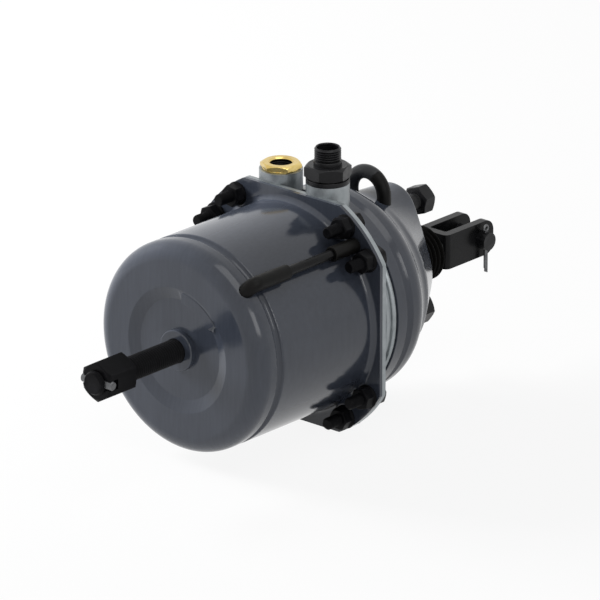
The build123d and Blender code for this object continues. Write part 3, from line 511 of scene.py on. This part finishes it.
def thread(start: float, end: float, radius: float, pitch: float, tip: float) -> BMesh:
    """Make a threaded bar about the X axis, cut square at both ends.

    Args:
        start: Where the bar begins.
        end: Where it ends.
        radius: The thread's outer radius.
        pitch: The thread's pitch.
        tip: How far the cone at either end reaches.

    Returns:
        The mesh.
    """
    part = bmesh.new()
    root = radius - THREAD_DEPTH * pitch
    turns = math.ceil((end - start) / pitch) + 2
    first = start - pitch
    outline = [(0.0, root), (0.12, root), (0.44, radius), (0.56, radius), (0.88, root), (1.0, root)]
    verts = [part.verts.new((first + share * pitch, 0, height)) for share, height in outline]
    edges = [part.edges.new(pair) for pair in zip(verts, verts[1:])]
    bmesh.ops.spin(
        part, geom=verts + edges, cent=(0, 0, 0), axis=X_AXIS, dvec=(pitch / THREAD_STEPS, 0, 0),
        angle=math.tau * turns, steps=turns * THREAD_STEPS, use_merge=False, use_duplicate=False,
    )
    bmesh.ops.remove_doubles(part, verts=part.verts, dist=NEAR_MM)
    for place, way in ((start, -1), (end, 1)):
        rim = slice_at(part, (place, 0, 0), (way, 0, 0), clear=True)
        bmesh.ops.edgeloop_fill(part, edges=rim)
    for vert in part.verts:
        limit = radius - tip + min(vert.co.x - start, end - vert.co.x)
        reach = math.hypot(vert.co.y, vert.co.z)
        if reach > limit:
            vert.co.y *= limit / reach
            vert.co.z *= limit / reach
    bmesh.ops.recalc_face_normals(part, faces=part.faces)
    return part


def coil(start: Point, end: Point, turns: float, wire: float) -> BMesh:
    """Make a conical coil spring about the X axis.

    Args:
        start: The first end's place along the axis and radius, on the wire's centre line.
        end: The last end's.
        turns: How many turns it has.
        wire: The wire's radius.

    Returns:
        The mesh.
    """
    part = bmesh.new()
    ring = bmesh.ops.create_circle(
        part, cap_ends=True, segments=WIRE_SIDES, radius=wire,
        matrix=Matrix.Translation((start[0], 0, 0)) @ Matrix.Rotation(math.pi / 2, 4, "X"),
    )
    bmesh.ops.translate(part, verts=ring["verts"], vec=(0, 0, start[1]))
    count = round(turns * COIL_STEPS)
    lead = (end[0] - start[0]) / count
    bmesh.ops.spin(
        part, geom=part.faces[:], cent=(0, 0, 0), axis=X_AXIS, dvec=(lead, 0, 0),
        angle=math.tau * turns, steps=count, use_merge=False, use_duplicate=False,
    )
    for vert in part.verts:
        share = min(max((vert.co.x - start[0]) / (end[0] - start[0]), 0), 1)
        grow = share * (end[1] - start[1])
        out = Vector((0, vert.co.y, vert.co.z)).normalized()
        vert.co += out * grow
    bmesh.ops.recalc_face_normals(part, faces=part.faces)
    return part


def from_axis(place: Vector) -> float:
    """Distance of a place from the X axis."""
    return math.hypot(place.y, place.z)


def soften(bm: BMesh, width: float, angle: float, beyond: float) -> None:
    """Round every sharp edge of a mesh a little.

    Args:
        bm: The mesh.
        width: How wide the rounding is.
        angle: The least turn between two faces, in degrees, that counts as sharp.
        beyond: Edges nearer to the X axis than this stay as they are.
    """
    limit = math.radians(angle)
    sharp = [
        edge for edge in bm.edges
        if edge.is_manifold
        and edge.calc_face_angle(0) > limit
        and min(from_axis(vert.co) for vert in edge.verts) > beyond
    ]
    bmesh.ops.bevel(
        bm, geom=sharp, offset=width, offset_type="OFFSET", segments=2, profile=0.5,
        affect="EDGES", clamp_overlap=True, material=-1,
    )


def publish(
    bm: BMesh,
    name: str,
    finish: Finish,
    body: Body | None,
    nodes: Sequence[str] = (),
    smooth_angle: float = 40.0,
    inside: Finish | None = None,
) -> bpy.types.Object:
    """Turn a finished mesh in millimetres into a piece of the object.

    Args:
        bm: The mesh, which is freed.
        name: The piece's name.
        finish: What it is made of.
        body: The body that carries it, or None to leave it on no body.
        nodes: The frame's nodes that it stands for.
        smooth_angle: The turn between faces, in degrees, that stays an edge.
        inside: The finish of the faces with material index 1, where there are any.

    Returns:
        The new object.
    """
    bmesh.ops.scale(bm, vec=(MM, MM, MM), verts=bm.verts)
    mesh = bpy.data.meshes.new(name)
    bm.to_mesh(mesh)
    bm.free()
    mesh.polygons.foreach_set("use_smooth", [True] * len(mesh.polygons))
    mesh.set_sharp_from_angle(angle=math.radians(smooth_angle))
    piece = bpy.data.objects.new(name, mesh)
    bpy.context.scene.collection.objects.link(piece)
    for coat in (finish, inside) if inside else (finish,):
        mesh.materials.append(coat.material())
    normals = piece.modifiers.new("even_normals", "WEIGHTED_NORMAL")
    normals.keep_sharp = True
    if body is not None:
        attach(piece, body.value)
    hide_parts(*nodes)
    log.info("%s: %d faces, %s", name, len(mesh.polygons), finish.name)
    return piece


def copy_of(node: str) -> BMesh:
    """Copy a frame node as one closed mesh in millimetres.

    Args:
        node: The frame's node.

    Returns:
        The mesh, with its triangles joined into the faces that they make up.
    """
    bm = bmesh.new()
    bm.from_mesh(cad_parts[node].data)
    bm.transform(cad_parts[node].matrix_world)
    bmesh.ops.scale(bm, vec=(1 / MM, 1 / MM, 1 / MM), verts=bm.verts)
    bmesh.ops.remove_doubles(bm, verts=bm.verts, dist=MERGE_MM)
    bmesh.ops.dissolve_limit(
        bm, angle_limit=math.radians(0.2), verts=bm.verts[:], edges=bm.edges[:], delimit=set()
    )
    return bm


def skin(
    node: str,
    finish: Finish,
    body: Body,
    rounding: float,
    angle: float = 35.0,
    beyond: float = 0.0,
) -> None:
    """Stand a copy of a frame node with softened edges in its place.

    Args:
        node: The frame's node.
        finish: What it is made of.
        body: The body that carries it.
        rounding: How wide its edges are rounded.
        angle: The least turn, in degrees, that counts as an edge.
        beyond: Edges nearer to the X axis than this aren't rounded.
    """
    bm = copy_of(node)
    soften(bm, rounding, angle, beyond)
    publish(bm, f"{node}_skin", finish, body, (node,), smooth_angle=angle)


def bending(bm: BMesh, node: str, finish: Finish, start: float, end: float, to: Body) -> None:
    """Publish a soft or sprung piece on no body, with its place baked into its mesh.

    Args:
        bm: The mesh, in millimetres.
        node: The frame's node that it stands for.
        finish: What it is made of.
        start: Where along X it would still follow the housing; not used.
        end: Where it would follow the other body; not used.
        to: The other body; not used.
    """
    piece = publish(bm, f"{node}_shape", finish, None, (node,))
    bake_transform(piece)


def keep(nodes: Sequence[str], finish: Finish) -> None:
    """Give frame nodes that stay as they are their finish.

    Args:
        nodes: The frame's nodes.
        finish: What they are made of.
    """
    for node in nodes:
        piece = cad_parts[node]
        piece.data.materials.clear()
        piece.data.materials.append(finish.material())
        log.info("%s: kept, %s", node, finish.name)


# ---------------------------------------------------------------- spring chamber
@dataclass
class SpringChamber:
    """The can with its end boss, the release bolt, and the spring and piston inside."""

    tip: float = -292.7
    boss_inside: float = -212.0
    bolt_radius: float = 8.0
    pitch: float = 2.0
    nut_rear: float = -288.7
    nut_front: float = -263.7
    nut_flats: float = 24.0
    slot_width: float = 6.5
    slot_floor: float = -281.2
    pin_x: float = -286.7
    pin_radius: float = 3.0
    pin_half: float = 13.0
    pin_chamfer: float = 0.6
    tip_chamfer: float = 1.4
    can_rounding: float = 0.5
    can_edge_angle: float = 25.0
    flange_from: float = 73.0
    boss_rounding: float = 0.3
    spring_ends: Span = (-207.5, -163.0)
    spring_rear: Point = (-202.3, 31.0)
    spring_front: Point = (-168.2, 52.0)
    spring_turns: float = 3.0
    spring_wire: float = 5.0

    def build(self) -> None:
        """Make every piece of the spring chamber."""
        skin(
            "spring_housing", ENAMEL, Body.HOUSING, self.can_rounding, self.can_edge_angle,
            beyond=self.flange_from,
        )
        skin("release_boss", ENAMEL, Body.HOUSING, self.boss_rounding)
        self.release_bolt()
        self.release_nut()
        self.release_pin()
        keep(("spring_piston", "tube_cap"), CAST_ALUMINIUM)
        keep(("piston_tube", "thrust_race"), GROUND_STEEL)
        keep(("guide_ring",), POLYAMIDE)
        keep(("piston_seal",), RUBBER)
        spring = coil(self.spring_rear, self.spring_front, self.spring_turns, self.spring_wire)
        bending(spring, "power_spring", SPRING_WIRE, *self.spring_ends, Body.SPRING_PISTON)

    def release_bolt(self) -> None:
        """Make the bolt: threaded where it shows, and plain from the boss to its race."""
        bm = copy_of("release_bolt")
        inside = self.boss_inside
        rim = slice_at(bm, (inside, 0, 0), (-1, 0, 0), clear=True)
        bmesh.ops.edgeloop_fill(bm, edges=rim)
        merge(bm, thread(self.tip, inside + NEAR_MM, self.bolt_radius, self.pitch, self.tip_chamfer))
        publish(
            bm, "release_bolt_threaded", BLACK_OXIDE, Body.RELEASE_BOLT, ("release_bolt",),
            smooth_angle=50,
        )

    def release_nut(self) -> None:
        """Make the hexagonal nut with the slot that holds its pin."""
        bm = hexagon(self.nut_rear, self.nut_front, self.nut_flats, self.bolt_radius + THREAD_GAP)
        half = self.slot_width / 2
        for level in (-half, half):
            slice_at(bm, (0, 0, level), (0, 0, 1))
        slice_at(bm, (self.slot_floor, 0, 0), (1, 0, 0))
        inside = [
            face for face in bm.faces
            if abs(face.calc_center_median().z) < half and face.calc_center_median().x < self.slot_floor
        ]
        bmesh.ops.delete(bm, geom=inside, context="FACES")
        for side in (-1, 1):
            self.close_slot(bm, side)
        bmesh.ops.recalc_face_normals(bm, faces=bm.faces)
        publish(
            bm, "release_nut_slotted", BLACK_OXIDE, Body.RELEASE_BOLT, ("release_nut",),
            smooth_angle=30,
        )

    def close_slot(self, bm: BMesh, side: int) -> None:
        """Give one side of the nut's slot its floor and two walls.

        Args:
            bm: The nut, open where the slot is.
            side: 1 for the side towards +Y, -1 for the other.
        """
        near, half = NEAR_MM, self.slot_width / 2
        levels = (-half, half)
        here = [vert for vert in bm.verts if vert.co.y * side > 0]
        for level in levels:
            ends = [
                vert for vert in here
                if abs(vert.co.x - self.slot_floor) < near and abs(vert.co.z - level) < near
            ]
            ends.sort(key=lambda vert: abs(vert.co.y))
            bm.edges.new((ends[0], ends[-1]))
        open_edges = [
            edge for edge in bm.edges
            if len(edge.link_faces) < 2 and edge.verts[0].co.y * side > 0
        ]
        for level in levels:
            wall = [
                edge for edge in open_edges
                if all(abs(vert.co.z - level) < near for vert in edge.verts)
            ]
            bmesh.ops.contextual_create(bm, geom=wall)
        floor = [
            edge for edge in open_edges
            if all(
                abs(vert.co.x - self.slot_floor) < near and abs(vert.co.z) < half + near
                for vert in edge.verts
            )
        ]
        bmesh.ops.contextual_create(bm, geom=floor)

    def release_pin(self) -> None:
        """Make the cross pin, with its ends turned a little round."""
        bm = bmesh.new()
        half, radius, cut = self.pin_half, self.pin_radius, self.pin_chamfer
        section = [(-half, 0), (-half, radius - cut), (-half + cut, radius)]
        section += [(half - cut, radius), (half, radius - cut), (half, 0)]
        part = bmesh.new()
        lathe(part, section, closed=False, steps=40)
        place = Matrix.Translation((self.pin_x, 0, 0)) @ Matrix.Rotation(math.pi / 2, 4, "Z")
        merge(bm, part, (place,))
        publish(bm, "release_pin_turned", DULL_ZINC, Body.RELEASE_BOLT, ("release_pin",))


# ---------------------------------------------------------------- centre housing
@dataclass
class CentreJoint:
    """The aluminium centre housing with the fasteners and seals of the bolted joint."""

    circle: float = 80.4
    pair_angle: float = 9.5
    plate_front: float = -97.2
    flange_rear: float = -103.0
    bolt_radius: float = 4.0
    pitch: float = 1.25
    tip: float = -121.7
    head_flats: float = 13.0
    head_height: float = 5.3
    nut_flats: float = 13.0
    nut_height: float = 8.0
    collar_radius: float = 8.0
    collar_height: float = 1.6
    collar_rim: float = 0.7
    collar_bevel: float = 0.3
    collar_edge: float = 0.2
    face_height: float = 0.3
    face_share: float = 0.96
    shank_reach: float = 2.0
    join: float = 0.1
    tip_chamfer: float = 0.8
    rounding: float = 0.35
    edge_angle: float = 30.0
    turns: tuple[int, ...] = (8, 41, 23, 52, 15, 33, 3, 47)

    def build(self) -> None:
        """Make every piece of the joint."""
        skin("centre_housing", CAST_ALUMINIUM, Body.HOUSING, self.rounding, self.edge_angle)
        self.bolts()
        self.nuts()
        keep(("tube_bush",), SINTERED_BRONZE)
        keep(("tube_seal", "flange_seal"), RUBBER)

    def places(self) -> list[Matrix]:
        """Place the eight fasteners, each turned as its spanner left it.

        Returns:
            One matrix for each fastener.
        """
        corners = (45, 135, 225, 315)
        angles = [
            math.radians(corner + side * self.pair_angle) for corner in corners for side in (-1, 1)
        ]
        return [
            along(0, self.circle * math.cos(angle), self.circle * math.sin(angle), turn)
            for angle, turn in zip(angles, self.turns)
        ]

    def bolts(self) -> None:
        """Make the eight bolts: heads on the centre housing, threads towards the can."""
        bm = bmesh.new()
        seat, radius = self.plate_front, self.bolt_radius
        face_top = seat + self.face_height
        one = hexagon(face_top, seat + self.head_height, self.head_flats, 0, rear_cone=False)
        disc(one, seat, face_top + NEAR_MM, self.head_flats / 2 * self.face_share, steps=48)
        shank_end = self.flange_rear - self.shank_reach
        disc(one, shank_end, seat + self.join, radius, steps=32)
        merge(one, thread(self.tip, shank_end + self.join, radius, self.pitch, self.tip_chamfer))
        merge(bm, one, self.places())
        publish(bm, "flange_bolts_threaded", BLACK_ZINC, Body.HOUSING, ("flange_bolts",), smooth_angle=35)

    def nuts(self) -> None:
        """Make the eight nuts, each with the collar that bears on the can's flange."""
        bm = bmesh.new()
        seat, bore, radius = self.flange_rear, self.bolt_radius + THREAD_GAP, self.collar_radius
        step, half = seat - self.collar_height, self.nut_flats / 2
        rim, bevel, edge = self.collar_rim, self.collar_bevel, self.collar_edge
        one = hexagon(seat - self.nut_height, step + 3 * edge, self.nut_flats, bore, front_cone=False)
        lathe(one, [
            (seat, bore), (seat, radius - edge), (seat - edge, radius), (seat - rim, radius),
            (seat - rim - bevel, radius - bevel), (step, half + edge),
            (step - 2 * edge, half - 2 * edge), (step - 2 * edge, bore),
        ])
        merge(bm, one, self.places())
        publish(bm, "flange_nuts_collared", BLACK_OXIDE, Body.HOUSING, ("flange_nuts",), smooth_angle=30)


# ---------------------------------------------------------------- air ports
@dataclass
class AirPorts:
    """The brass fitting, and the black fitting with its washer and stub."""

    x: float = -86.0
    service_y: float = 23.9
    spring_y: float = -16.3
    boss_top: float = 84.0
    depth: float = 10.8
    thread_radius: float = 10.0
    foot_chamfer: float = 0.8
    bore: float = 7.2
    mouth: float = 1.0
    pitch: float = 1.5
    first_groove: float = 1.8
    groove_shares: Span = (0.45, 0.6)
    collar_radius: float = 12.4
    collar_height: float = 1.0
    collar_edge: float = 0.2
    brass_flats: float = 24.0
    brass_top: float = 88.5
    hex_foot: float = 87.0
    hex_top: float = 96.0
    hex_flats: float = 27.0
    hex_turn: float = 20.0
    stub_collar_top: float = 99.0
    stub_collar_radius: float = 9.25
    stub_collar_edge: float = 0.3
    stub_top: float = 107.9
    stub_radius: float = 8.7
    stub_neck: float = 1.0
    stub_lead: float = 0.9
    stub_depth: float = 0.85
    stub_flank: float = 0.6
    stub_crest: float = 0.25
    stub_run_out: float = 0.4
    stub_mouth: float = 0.7
    stub_tip: Span = (0.6, 0.9)
    washer_rounding: float = 0.3

    def build(self) -> None:
        """Make every piece of the ports."""
        self.brass_fitting()
        self.black_fitting()
        skin("port_washer", PHOSPHATE, Body.HOUSING, self.washer_rounding)

    def foot(self, bottom: float, top: float) -> list[Point]:
        """Outline the plain screwed foot of a fitting, from its lower end to its seat."""
        radius, cut = self.thread_radius, self.foot_chamfer
        return [(bottom, radius - cut), (bottom + cut, radius), (top, radius)]

    def bored_body(self, outline: Sequence[Point], foot: float, top: float) -> BMesh:
        """Turn a fitting's body with the screw thread of its bore.

        Args:
            outline: The outside, from the foot to the rim of the top.
            foot: The lower end.
            top: The upper end.

        Returns:
            The mesh, standing along X.
        """
        part = bmesh.new()
        bore, mouth = self.bore, self.mouth
        slope, level = (share * self.pitch for share in self.groove_shares)
        root = bore + slope
        grooves: list[Point] = []
        ring = top - self.first_groove
        while ring - self.pitch > foot + self.foot_chamfer:
            grooves += [(ring, bore), (ring - slope, root), (ring - level, root)]
            ring -= self.pitch
        lathe(part, [(foot, bore), *outline, (top, bore + mouth), (top - mouth, bore), *grooves])
        # The threaded bore's faces take material index 1, which carries the painted bore shade.
        for face in part.faces:
            middle = face.calc_center_median()
            if middle.x < top - mouth and from_axis(middle) < root + NEAR_MM:
                face.material_index = 1
        return part

    def brass_fitting(self) -> None:
        """Make the brass fitting of the service port: a low hexagon on a round collar."""
        bottom, seat, top = self.boss_top - self.depth, self.boss_top, self.brass_top
        step, radius, edge = seat + self.collar_height, self.collar_radius, self.collar_edge
        outline = self.foot(bottom, seat)
        outline += [(seat, radius - edge), (seat + edge, radius), (step - edge, radius)]
        outline += [(step, radius - edge), (step, self.brass_flats / math.sqrt(3))]
        outline += [(top - depth, r) for depth, r in reversed(hex_cone(self.brass_flats))]
        part = self.bored_body(outline, bottom, top)
        clip_to_hexagon(part, self.brass_flats, step - NEAR_MM, top)
        bm = bmesh.new()
        merge(bm, part, (upright(self.x, self.service_y),))
        # The bore's faces take the painted bore shade.
        publish(
            bm, "port_fitting_brass_turned", BRASS, Body.HOUSING, ("port_fitting_brass",),
            smooth_angle=25, inside=BORE_SHADE,
        )

    def black_fitting(self) -> None:
        """Make the black fitting of the spring port: a tall hexagon with a threaded stub."""
        bottom, cone = self.boss_top - self.depth, hex_cone(self.hex_flats)
        outline = self.foot(bottom, self.hex_foot)
        outline += [(self.hex_foot + depth, r) for depth, r in cone]
        outline += [(self.hex_top - depth, r) for depth, r in reversed(cone)]
        step, collar, edge = self.stub_collar_top, self.stub_collar_radius, self.stub_collar_edge
        outline += [(self.hex_top, collar), (step - edge, collar), (step, collar - edge)]
        radius, flank = self.stub_radius, self.stub_flank
        outline.append((step, radius - self.stub_neck))
        ring = step + self.stub_lead
        while ring + self.pitch < self.stub_top - self.stub_run_out:
            outline += [(ring, radius - self.stub_depth), (ring + flank, radius)]
            outline.append((ring + flank + self.stub_crest, radius))
            ring += self.pitch
        top, mouth = self.stub_top, self.stub_mouth
        outline += [(top - mouth, radius - self.stub_tip[0]), (top, radius - self.stub_tip[1])]
        outline += [(top, self.bore + mouth), (top - mouth, self.bore), (bottom, self.bore)]
        part = bmesh.new()
        lathe(part, outline)
        clip_to_hexagon(part, self.hex_flats, self.hex_foot, self.hex_top)
        bm = bmesh.new()
        turned = upright(self.x, self.spring_y) @ Matrix.Rotation(math.radians(self.hex_turn), 4, "X")
        merge(bm, part, (turned,))
        publish(
            bm, "port_fitting_black_turned", PHOSPHATE, Body.HOUSING, ("port_fitting_black",),
            smooth_angle=25,
        )


# ---------------------------------------------------------------- service chamber
@dataclass
class ServiceChamber:
    """The pressed shell with its studs and vent, and the diaphragm and spring inside."""

    stud_half_spacing: float = 38.1
    shank_end: float = 17.0
    thread_radius: float = 5.8
    stud_end: float = 32.0
    pitch: float = 1.75
    nut_rear: float = 19.0
    nut_front: float = 29.0
    nut_flats: float = 18.0
    nut_turns: tuple[int, int] = (12, 34)
    tip_chamfer: float = 0.9
    rounding: float = 0.3
    shell_edge_angle: float = 25.0
    rim_from: float = 69.0
    diaphragm_ends: Span = (-73.0, -79.5)
    spring_ends: Span = (-3.0, -75.2)
    spring_front: Point = (-5.3, 22.0)
    spring_rear: Point = (-72.9, 35.0)
    spring_turns: float = 6.0
    spring_wire: float = 2.1

    def build(self) -> None:
        """Make every piece of the service chamber."""
        skin(
            "service_housing", ENAMEL, Body.HOUSING, self.rounding, self.shell_edge_angle,
            beyond=self.rim_from,
        )
        self.studs()
        self.stud_nuts()
        skin("vent_hose", RUBBER, Body.HOUSING, self.rounding)
        skin("vent_elbow", POLYAMIDE, Body.HOUSING, self.rounding)
        keep(("push_plate",), DULL_ZINC)
        bending(copy_of("diaphragm"), "diaphragm", RUBBER, *self.diaphragm_ends, Body.PUSH_ROD)
        spring = coil(self.spring_front, self.spring_rear, self.spring_turns, self.spring_wire)
        bending(spring, "return_spring", SPRING_WIRE, *self.spring_ends, Body.PUSH_ROD)

    def studs(self) -> None:
        """Make the two mounting studs, with their heads inside the shell."""
        bm = copy_of("mounting_studs")
        rim = slice_at(bm, (self.shank_end, 0, 0), (1, 0, 0), clear=True)
        bmesh.ops.edgenet_fill(bm, edges=rim)
        start = self.shank_end - NEAR_MM
        one = thread(start, self.stud_end, self.thread_radius, self.pitch, self.tip_chamfer)
        half = self.stud_half_spacing
        merge(bm, one, [along(0, 0, half), along(0, 0, -half)])
        publish(
            bm, "mounting_studs_threaded", PHOSPHATE, Body.HOUSING, ("mounting_studs",),
            smooth_angle=35,
        )

    def stud_nuts(self) -> None:
        """Make the two nuts that clamp the bracket."""
        bm = bmesh.new()
        half, (upper, lower) = self.stud_half_spacing, self.nut_turns
        one = hexagon(self.nut_rear, self.nut_front, self.nut_flats, self.thread_radius + THREAD_GAP)
        merge(bm, one, [along(0, 0, half, upper), along(0, 0, -half, lower)])
        publish(bm, "stud_nuts_chamfered", PHOSPHATE, Body.HOUSING, ("stud_nuts",), smooth_angle=30)


# ---------------------------------------------------------------- push rod
@dataclass
class RodEnd:
    """The bellows, the rod with its lock nut, and the clevis with its pins."""

    bellows_rear: float = 2.0
    bellows_front: float = 30.0
    folds: int = 7
    crest: float = 18.5
    root: float = 14.2
    fold_wall: float = 2.04
    fold_steps: int = 12
    neck: float = 13.95
    neck_wall: float = 2.3
    front_edge: float = 0.3
    collar_gap: float = 0.2
    lip_rear: float = -4.6
    lip_front: float = -3.0
    lip_radius: float = 16.5
    rod_radius: float = 8.05
    collar_radius: float = 10.5
    collar_rear: float = 27.2
    front_face: float = 31.2
    nut_rear: float = 31.5
    nut_front: float = 36.5
    nut_flats: float = 21.0
    nut_bore: float = 7.1
    rod_rounding: float = 0.3
    clevis_rounding: float = 0.7
    pin_rounding: float = 0.5
    wire_rounding: float = 0.12
    wire_edge_angle: float = 60.0

    def build(self) -> None:
        """Make every piece of the rod's end."""
        ends = self.bellows_rear, self.bellows_front
        bending(self.bellows(), "bellows", RUBBER, *ends, Body.PUSH_ROD)
        skin("push_rod", DULL_ZINC, Body.PUSH_ROD, self.rod_rounding)
        nut = hexagon(self.nut_rear, self.nut_front, self.nut_flats, self.nut_bore)
        publish(nut, "lock_nut_chamfered", PHOSPHATE, Body.PUSH_ROD, ("lock_nut",), smooth_angle=30)
        skin("clevis", BLACK_ENAMEL, Body.PUSH_ROD, self.clevis_rounding)
        skin("clevis_pin", PHOSPHATE, Body.CLEVIS_PIN, self.pin_rounding)
        skin("split_pin", DULL_ZINC, Body.CLEVIS_PIN, self.wire_rounding, self.wire_edge_angle)

    def bellows(self) -> BMesh:
        """Make the bellows with round crests and roots.

        Returns:
            The mesh.
        """
        rear, front, steps = self.bellows_rear, self.front_face, self.fold_steps
        pitch = (self.bellows_front - rear) / self.folds
        middle, swing = (self.crest + self.root) / 2, (self.crest - self.root) / 2
        outer = [
            (rear + pitch * step / steps, middle - swing * math.cos(math.tau * step / steps))
            for step in range(self.folds * steps + 1)
        ]
        inner = [(x, radius - self.fold_wall) for x, radius in reversed(outer[1:-1])]
        throat, edge = self.neck - self.neck_wall, self.front_edge
        bm = bmesh.new()
        lathe(bm, [
            (self.lip_rear, throat), (self.lip_rear, self.lip_radius),
            (self.lip_front, self.lip_radius), (self.lip_front, self.neck), (rear, self.neck),
            *outer, (front - edge, self.root), (front, self.root - edge),
            (front, self.rod_radius), (self.collar_rear, self.rod_radius),
            (self.collar_rear, self.collar_radius),
            (self.bellows_front - self.collar_gap, self.collar_radius), *inner, (rear, throat),
        ])
        return bm


# ---------------------------------------------------------------- breather
@dataclass
class Breather:
    """The pipe between the two chambers, with its rubber elbow and sleeve."""

    pipe_rounding: float = 0.2
    rubber_rounding: float = 0.5

    def build(self) -> None:
        """Make every piece of the breather."""
        skin("breather_pipe", BLACK_POLYAMIDE, Body.HOUSING, self.pipe_rounding)
        skin("breather_sleeve", RUBBER, Body.HOUSING, self.rubber_rounding)
        skin("breather_elbow", RUBBER, Body.HOUSING, self.rubber_rounding)


# ---------------------------------------------------------------- stage and camera
@dataclass(frozen=True)
class Lamp:
    """A soft square lamp: its place and side in metres, and its power in watts."""

    name: str
    place: tuple[float, float, float]
    side: float
    power: float
    mirrored: bool = False


LAMPS = (
    Lamp("left", (-0.45, 1.55, 0.75), 0.8, 60.0),
    Lamp("right", (1.35, -0.95, 0.25), 0.6, 1.2),
    Lamp("front", (-0.40, -1.30, 0.65), 0.6, 3.0, mirrored=True),
    Lamp("top", (-0.2, -0.6, 1.7), 1.2, 7.0, mirrored=True),
)


@dataclass
class Studio:
    """The pale floor, the soft lights and the camera."""

    pixels_wide: float = 600.0
    pixels_per_mm: float = 1.5256
    origin_px: Point = (395.5, 263.3)
    azimuth: float = -48.52
    elevation: float = 20.60
    lens: float = 500.0
    sensor: float = 36.0
    floor_z: float = -77.75
    floor_size: float = 12.0
    floor_glow: float = 0.9
    paper: Colour = (0.75, 0.75, 0.75, 1.0)
    sky: Colour = (0.93, 0.95, 1.0, 1.0)
    sky_strength: float = 0.13
    lit_x: float = -0.1
    clip_end: float = 50.0

    def build(self) -> None:
        """Make the world, floor, lights and camera."""
        bpy.context.scene.view_settings.view_transform = "Standard"
        self.world()
        self.floor()
        for lamp in LAMPS:
            self.hang(lamp)
        self.camera()

    def world(self) -> None:
        """Make the surroundings: white where they are seen, softer where they light."""
        world = bpy.data.worlds.new("studio")
        bpy.context.scene.world = world
        world.use_nodes = True
        tree = world.node_tree
        tree.nodes.clear()
        seen = self.seen(tree)
        light = add_node(
            tree, "ShaderNodeBackground", {"Color": self.sky, "Strength": self.sky_strength}
        )
        white = add_node(tree, "ShaderNodeBackground", {"Color": WHITE, "Strength": 1.0})
        shown = add_node(
            tree, "ShaderNodeMixShader",
            {0: seen, 1: light.outputs["Background"], 2: white.outputs["Background"]},
        )
        add_node(tree, "ShaderNodeOutputWorld", {"Surface": shown.outputs["Shader"]})

    def seen(self, tree: bpy.types.NodeTree) -> bpy.types.NodeSocket:
        """Tell the rays that see a surface from those that are lit by it.

        Args:
            tree: The tree that gains the nodes.

        Returns:
            1 for a ray from the camera, in a reflection or through glass, otherwise 0.
        """
        rays = add_node(tree, "ShaderNodeLightPath").outputs
        mirrored = add_node(
            tree, "ShaderNodeMath", {0: rays["Is Camera Ray"], 1: rays["Is Glossy Ray"]},
            operation="MAXIMUM",
        ).outputs["Value"]
        return add_node(
            tree, "ShaderNodeMath", {0: mirrored, 1: rays["Is Transmission Ray"]},
            operation="MAXIMUM",
        ).outputs["Value"]

    def floor(self) -> None:
        """Make the floor, which shows nearly white and keeps a faint shadow."""
        bm = bmesh.new()
        bmesh.ops.create_grid(bm, x_segments=1, y_segments=1, size=self.floor_size / 2)
        bmesh.ops.translate(bm, verts=bm.verts, vec=(0, 0, self.floor_z * MM))
        mesh = bpy.data.meshes.new("floor")
        bm.to_mesh(mesh)
        bm.free()
        floor = bpy.data.objects.new("floor", mesh)
        bpy.context.scene.collection.objects.link(floor)
        material = bpy.data.materials.new("white_paper")
        material.use_nodes = True
        tree = material.node_tree
        tree.nodes.clear()
        share = add_node(
            tree, "ShaderNodeMath", {0: self.seen(tree), 1: self.floor_glow}, operation="MULTIPLY"
        ).outputs["Value"]
        paper = add_node(tree, "ShaderNodeBsdfDiffuse", {"Color": self.paper})
        white = add_node(tree, "ShaderNodeEmission", {"Color": WHITE, "Strength": 1.0})
        mixed = add_node(
            tree, "ShaderNodeMixShader",
            {0: share, 1: paper.outputs["BSDF"], 2: white.outputs["Emission"]},
        )
        add_node(tree, "ShaderNodeOutputMaterial", {"Surface": mixed.outputs["Shader"]})
        mesh.materials.append(material)

    def hang(self, lamp: Lamp) -> None:
        """Hang a lamp so that it looks at the middle of the object.

        Args:
            lamp: The lamp.
        """
        data = bpy.data.lights.new(lamp.name, "AREA")
        data.shape = "SQUARE"
        data.size = lamp.side
        data.energy = lamp.power
        light = bpy.data.objects.new(lamp.name, data)
        way = Vector((self.lit_x, 0, 0)) - Vector(lamp.place)
        turn = way.to_track_quat("-Z", "Y").to_matrix().to_4x4()
        light.matrix_world = Matrix.Translation(lamp.place) @ turn
        light.visible_glossy = lamp.mirrored
        bpy.context.scene.collection.objects.link(light)

    def camera(self) -> None:
        """Set the camera so that the origin falls on its pixel at the fitted scale."""
        across = math.radians(self.azimuth)
        up = math.radians(self.elevation)
        right = Vector((math.cos(across), math.sin(across), 0))
        back = Vector((right.y * math.cos(up), -right.x * math.cos(up), math.sin(up)))
        top = back.cross(right)
        middle, pixel = self.pixels_wide / 2, MM / self.pixels_per_mm
        aside, above = middle - self.origin_px[0], self.origin_px[1] - middle
        target = (right * aside + top * above) * pixel
        distance = self.lens * self.pixels_wide * pixel / self.sensor
        data = bpy.data.cameras.new("camera")
        data.lens = self.lens
        data.sensor_width = self.sensor
        data.clip_end = self.clip_end
        camera = bpy.data.objects.new("camera", data)
        place = target + back * distance
        turn = Matrix((right, top, back)).transposed().to_4x4()
        camera.matrix_world = Matrix.Translation(place) @ turn
        bpy.context.scene.collection.objects.link(camera)
        bpy.context.scene.camera = camera


def main() -> None:
    """Build every sub-assembly in order, and the studio round them."""
    logging.basicConfig(level=logging.INFO, format="%(name)s: %(message)s")
    SpringChamber().build()
    CentreJoint().build()
    AirPorts().build()
    ServiceChamber().build()
    RodEnd().build()
    Breather().build()
    Studio().build()


if __name__ == "__main__":
    main()
